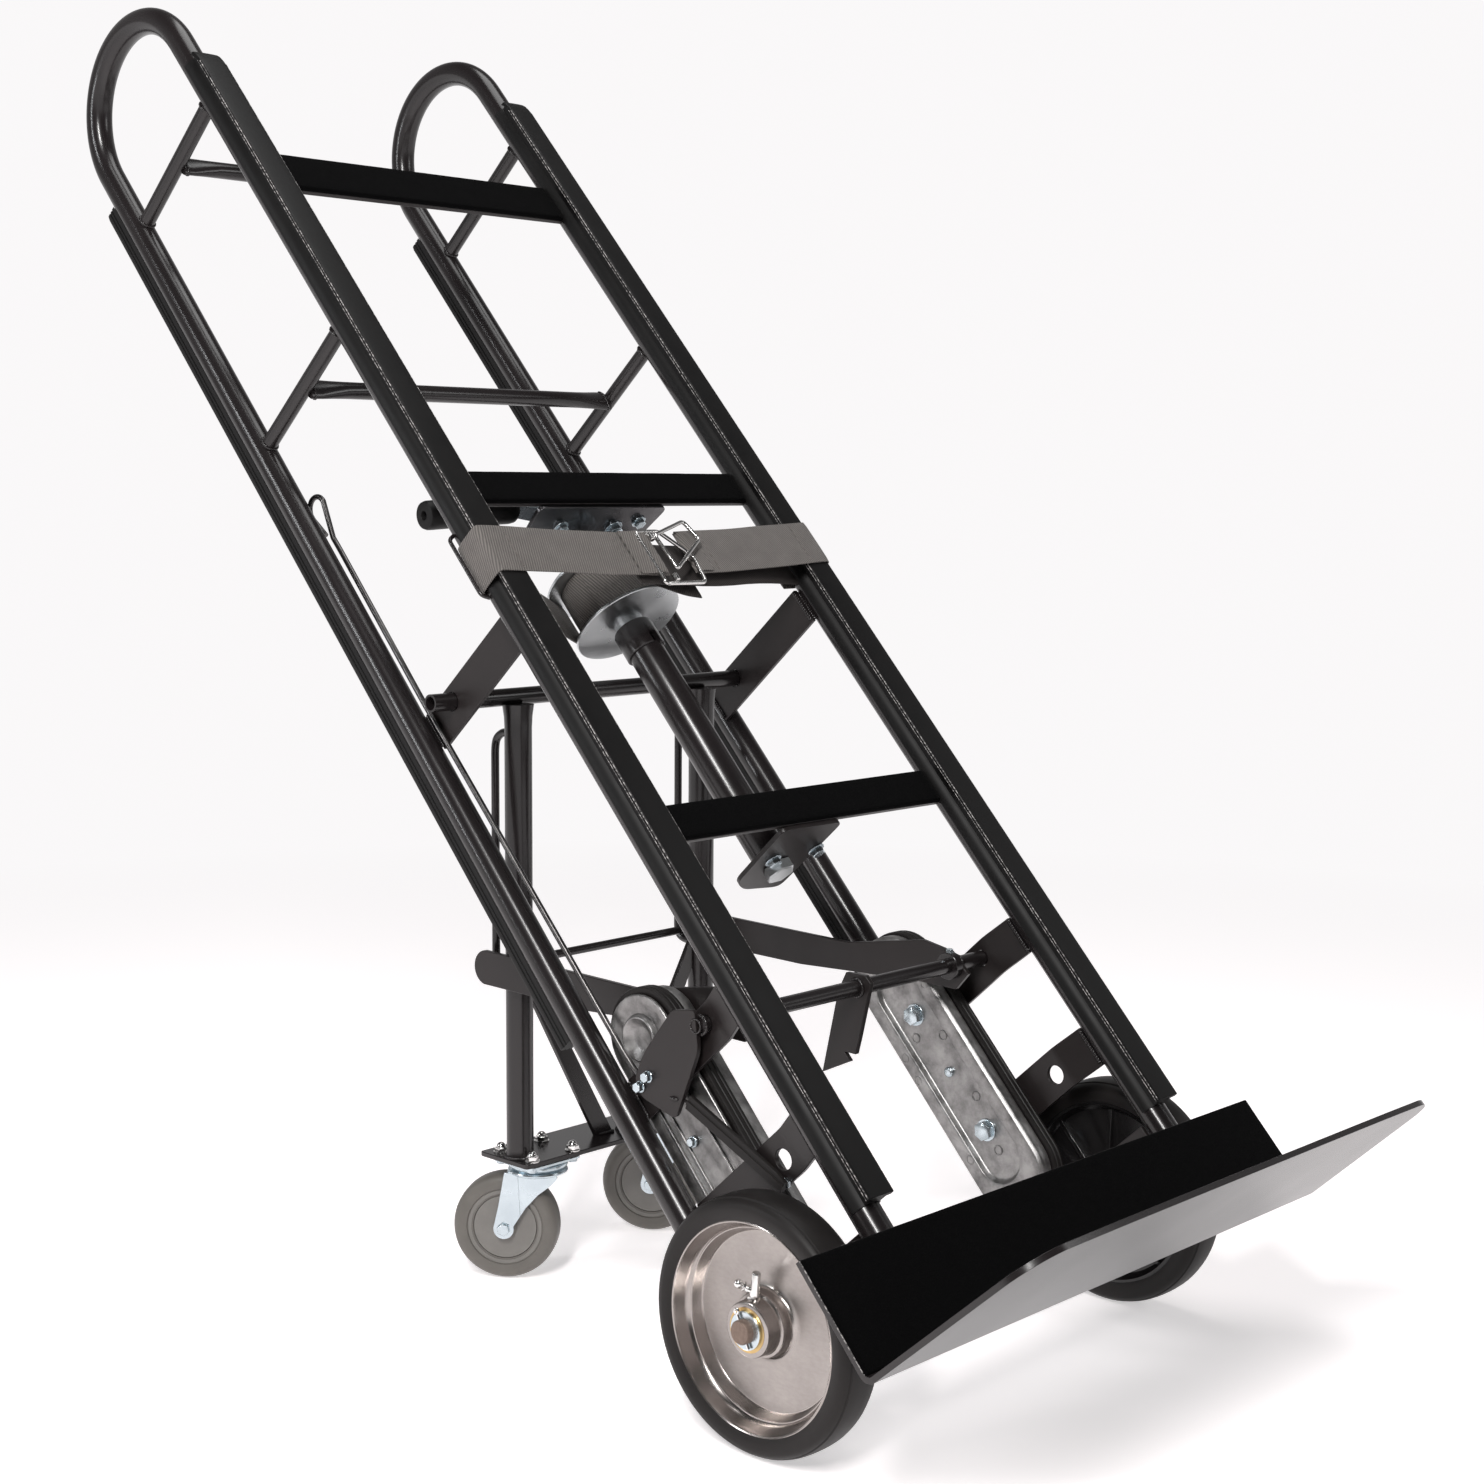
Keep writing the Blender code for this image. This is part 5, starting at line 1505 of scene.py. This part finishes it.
def straps():
    """Webbing from the reel round each rail to the buckle, with its seams, folds and free tail."""
    left = [(-21.6, 7.6, ROLL_S), (-100, 49.0, ROLL_S)] + rail_wrap(-1, 664.5)
    left += [(-150, WEB_N, 660), (-95, WEB_N, 655.5), (-17, WEB_N, 652)]
    right = [(176, FRONT_N - TUBE_R - 1.9, 662.5)] + rail_wrap(1, 662.5)
    right += [(150, WEB_N, 659), (90, WEB_N, 655), (21, WEB_N, 653)]
    for word, points in (("left", left), ("right", right)):
        tape = ribbon(smooth_route(points), WEB_W, WEB_T)
        piece(f"webbing_{word}", tape, "webbing", nodes=[f"strap_{word}"])
    seams = ((-183.0, 662.5), (-62.0, 654.5), (-56.0, 654.0), (50.0, 654.0), (182.0, 661.0))
    for i, (x, middle) in enumerate(seams):
        stitches(f"stitch_row_{i}", x, middle)
    # The buckle's loop of webbing, folded back on itself at each side; each point is (x, lift, middle s).
    fold_left = [(-52, 2.0, 653.5), (-38, 2.5, 652.4), (-29, 4.6, 652.2), (-22, 4.0, 652)]
    fold_right = [(40, 2.0, 653.2), (28, 2.8, 653.0), (21, 1.6, 653), (19.6, -1.4, 653)]
    inner = [(177, FRONT_N + 2 - WEB_N, 652), (120, -11, 647), (40, -10.6, 644), (-50, -6.0, 648)]
    tail = [(-34, -12, 639), (-12, -15, 633), (10, -18, 627), (31, -20, 625)]
    # The inner layer and the tail take a darker look: painted shade where they lie in shadow behind the face.
    layers = (
        ("fold_left", fold_left, 2.0, (WEB_W - 1, 1.6), "webbing"),
        ("fold_right", fold_right, 2.0, (WEB_W - 3, 1.5), "webbing"),
        ("inner_layer", inner, 5.0, (WEB_W - 2, 1.7), "webbing_painted_shade"),
        ("tail", tail, 2.0, (20, WEB_T, 6), "webbing_painted_shade"),
    )
    for name, points, step, size, look in layers:
        route = smooth_route([(x, WEB_N + lift, s) for x, lift, s in points], step)
        piece(f"webbing_{name}", ribbon(route, *size), look)


def buckle():
    """Wire buckle: a frame sewn into the webbing and a ring hinged on it."""
    frame_corners = [(-33, 675), (-33, 614), (17, 614), (21, 645), (-4, 675)]
    ring_corners = [(-17, 667), (30, 683), (37, 661), (-14, 627)]
    wires = (("buckle_wire", frame_corners, BUCKLE_N, "frame", "buckle_frame"),
             ("buckle_tongue", ring_corners, BUCKLE_N + 4.4, "buckle_tongue", "buckle_ring"))
    for name, corners, n, body, node in wires:
        path = soften([on_rail(x, s, n) for x, s in corners], 4.5, 6, True)
        piece(f"{name}_bent", sweep(path, 1.9, 16, True), "chrome", body, [node])
    sleeves = []
    sleeve = [(2.2, -4), (2.9, -3.4), (2.9, 3.4), (2.2, 4)]
    for s in (671.0, 623.0):
        sleeves.append(lathe(sleeve, on_rail(-20, s - 4, BUCKLE_N + 2.2), UP_RAIL))
    piece("buckle_sleeves", fused(sleeves), "chrome")


def strap_guides():
    """Wire loops welded outside each front rail, behind the runner, that keep the webbing in place."""
    for word, side in SIDES.items():
        outer = side * (TUBE_X + 12.0)
        stand_off = outer + side * 6.6
        points = [(outer, 634, 103), (stand_off, 638, 102), (stand_off, 700, 102), (outer, 704, 103)]
        path = soften(on_rails(points), 4, 5)
        piece(f"strap_guide_{word}", sweep(path, 1.8, 12), "paint")


# ---------------------------------------------------------------- studio

def camera():
    """The viewing angle, in metres and degrees."""
    heading, pitch, roll = (math.radians(angle) for angle in (-46.74, 83.54, 0.36))
    data = bpy.data.cameras.new("camera")
    data.lens = 55.67
    data.sensor_width = 36.0
    data.clip_end = 50.0
    obj = bpy.data.objects.new("camera", data)
    obj.location = (-1.479, -1.4879, 0.7383)
    turn = Matrix.Rotation(heading, 4, "Z") @ Matrix.Rotation(pitch, 4, "X") @ Matrix.Rotation(roll, 4, "Z")
    obj.rotation_euler = turn.to_euler()
    bpy.context.scene.collection.objects.link(obj)
    bpy.context.scene.camera = obj


def area_light(name, place, target, size, power, colour=(1, 1, 1)):
    data = bpy.data.lights.new(name, "AREA")
    data.shape = "RECTANGLE"
    data.size, data.size_y = size
    data.energy = power
    data.color = colour
    obj = bpy.data.objects.new(name, data)
    obj.location = place
    obj.rotation_euler = (Vector(target) - Vector(place)).to_track_quat("-Z", "Y").to_euler()
    bpy.context.scene.collection.objects.link(obj)


def studio():
    bm = bmesh.new()
    bmesh.ops.create_grid(bm, x_segments=2, y_segments=2, size=40.0)
    mesh = bpy.data.meshes.new("floor")
    bm.to_mesh(mesh)
    bm.free()
    mesh.materials.append(pale_floor())
    floor = bpy.data.objects.new("floor", mesh)
    floor.location.z = -0.0006
    bpy.context.scene.collection.objects.link(floor)
    world = bpy.data.worlds.new("studio")
    world.use_nodes = True
    tree = world.node_tree
    sky = tree.nodes["Background"]
    # A white sweep low on the far side and a dim room elsewhere; the sweep is what is seen directly.
    direction = tree.nodes.new("ShaderNodeTexCoord").outputs["Generated"]
    facing = tree.nodes.new("ShaderNodeVectorMath")
    facing.operation = "DOT_PRODUCT"
    facing.inputs[1].default_value = (0.72, 0.69, 0.0)
    tree.links.new(direction, facing.inputs[0])
    height = tree.nodes.new("ShaderNodeSeparateXYZ")
    tree.links.new(direction, height.inputs[0])
    low = math_of(tree, "SUBTRACT", 1.0, window(tree, height.outputs["Z"], 0.25, 0.8))
    sweep_light = math_of(tree, "MULTIPLY", window(tree, facing.outputs["Value"], -0.4, 0.9), low)
    room = between(tree, sweep_light, 0.05, 0.6)
    seen = math_of(tree, "MAXIMUM", room, tree.nodes.new("ShaderNodeLightPath").outputs["Is Camera Ray"])
    sky.inputs["Color"].default_value = (*SWEEP_WHITE, 1)
    tree.links.new(seen, sky.inputs["Strength"])
    bpy.context.scene.world = world
    middle = (0, 0, 0.6)
    area_light("key", (-2.3, -1.5, 2.5), middle, (0.3, 1.4), 92, (1, 0.99, 0.98))
    area_light("side", (-2.6, 1.3, 1.5), middle, (0.16, 1.6), 20, (0.96, 0.98, 1))
    area_light("top", (0.2, 0.1, 3.2), (0, 0, 0), (1.6, 1.6), 30)
    area_light("fill", (1.8, -2.4, 1.9), middle, (0.8, 0.8), 9)
    bpy.context.scene.view_settings.view_transform = "Standard"


# ---------------------------------------------------------------- assembly

for build in (camera, studio, side_tubes, load_strips, skid_strips, handle_braces, slats, flat_bars, toe,
              axle, wheels, climbers, latch, release_wire, tension_strap, carriage, casters, ratchet, straps,
              buckle, strap_guides):
    build()
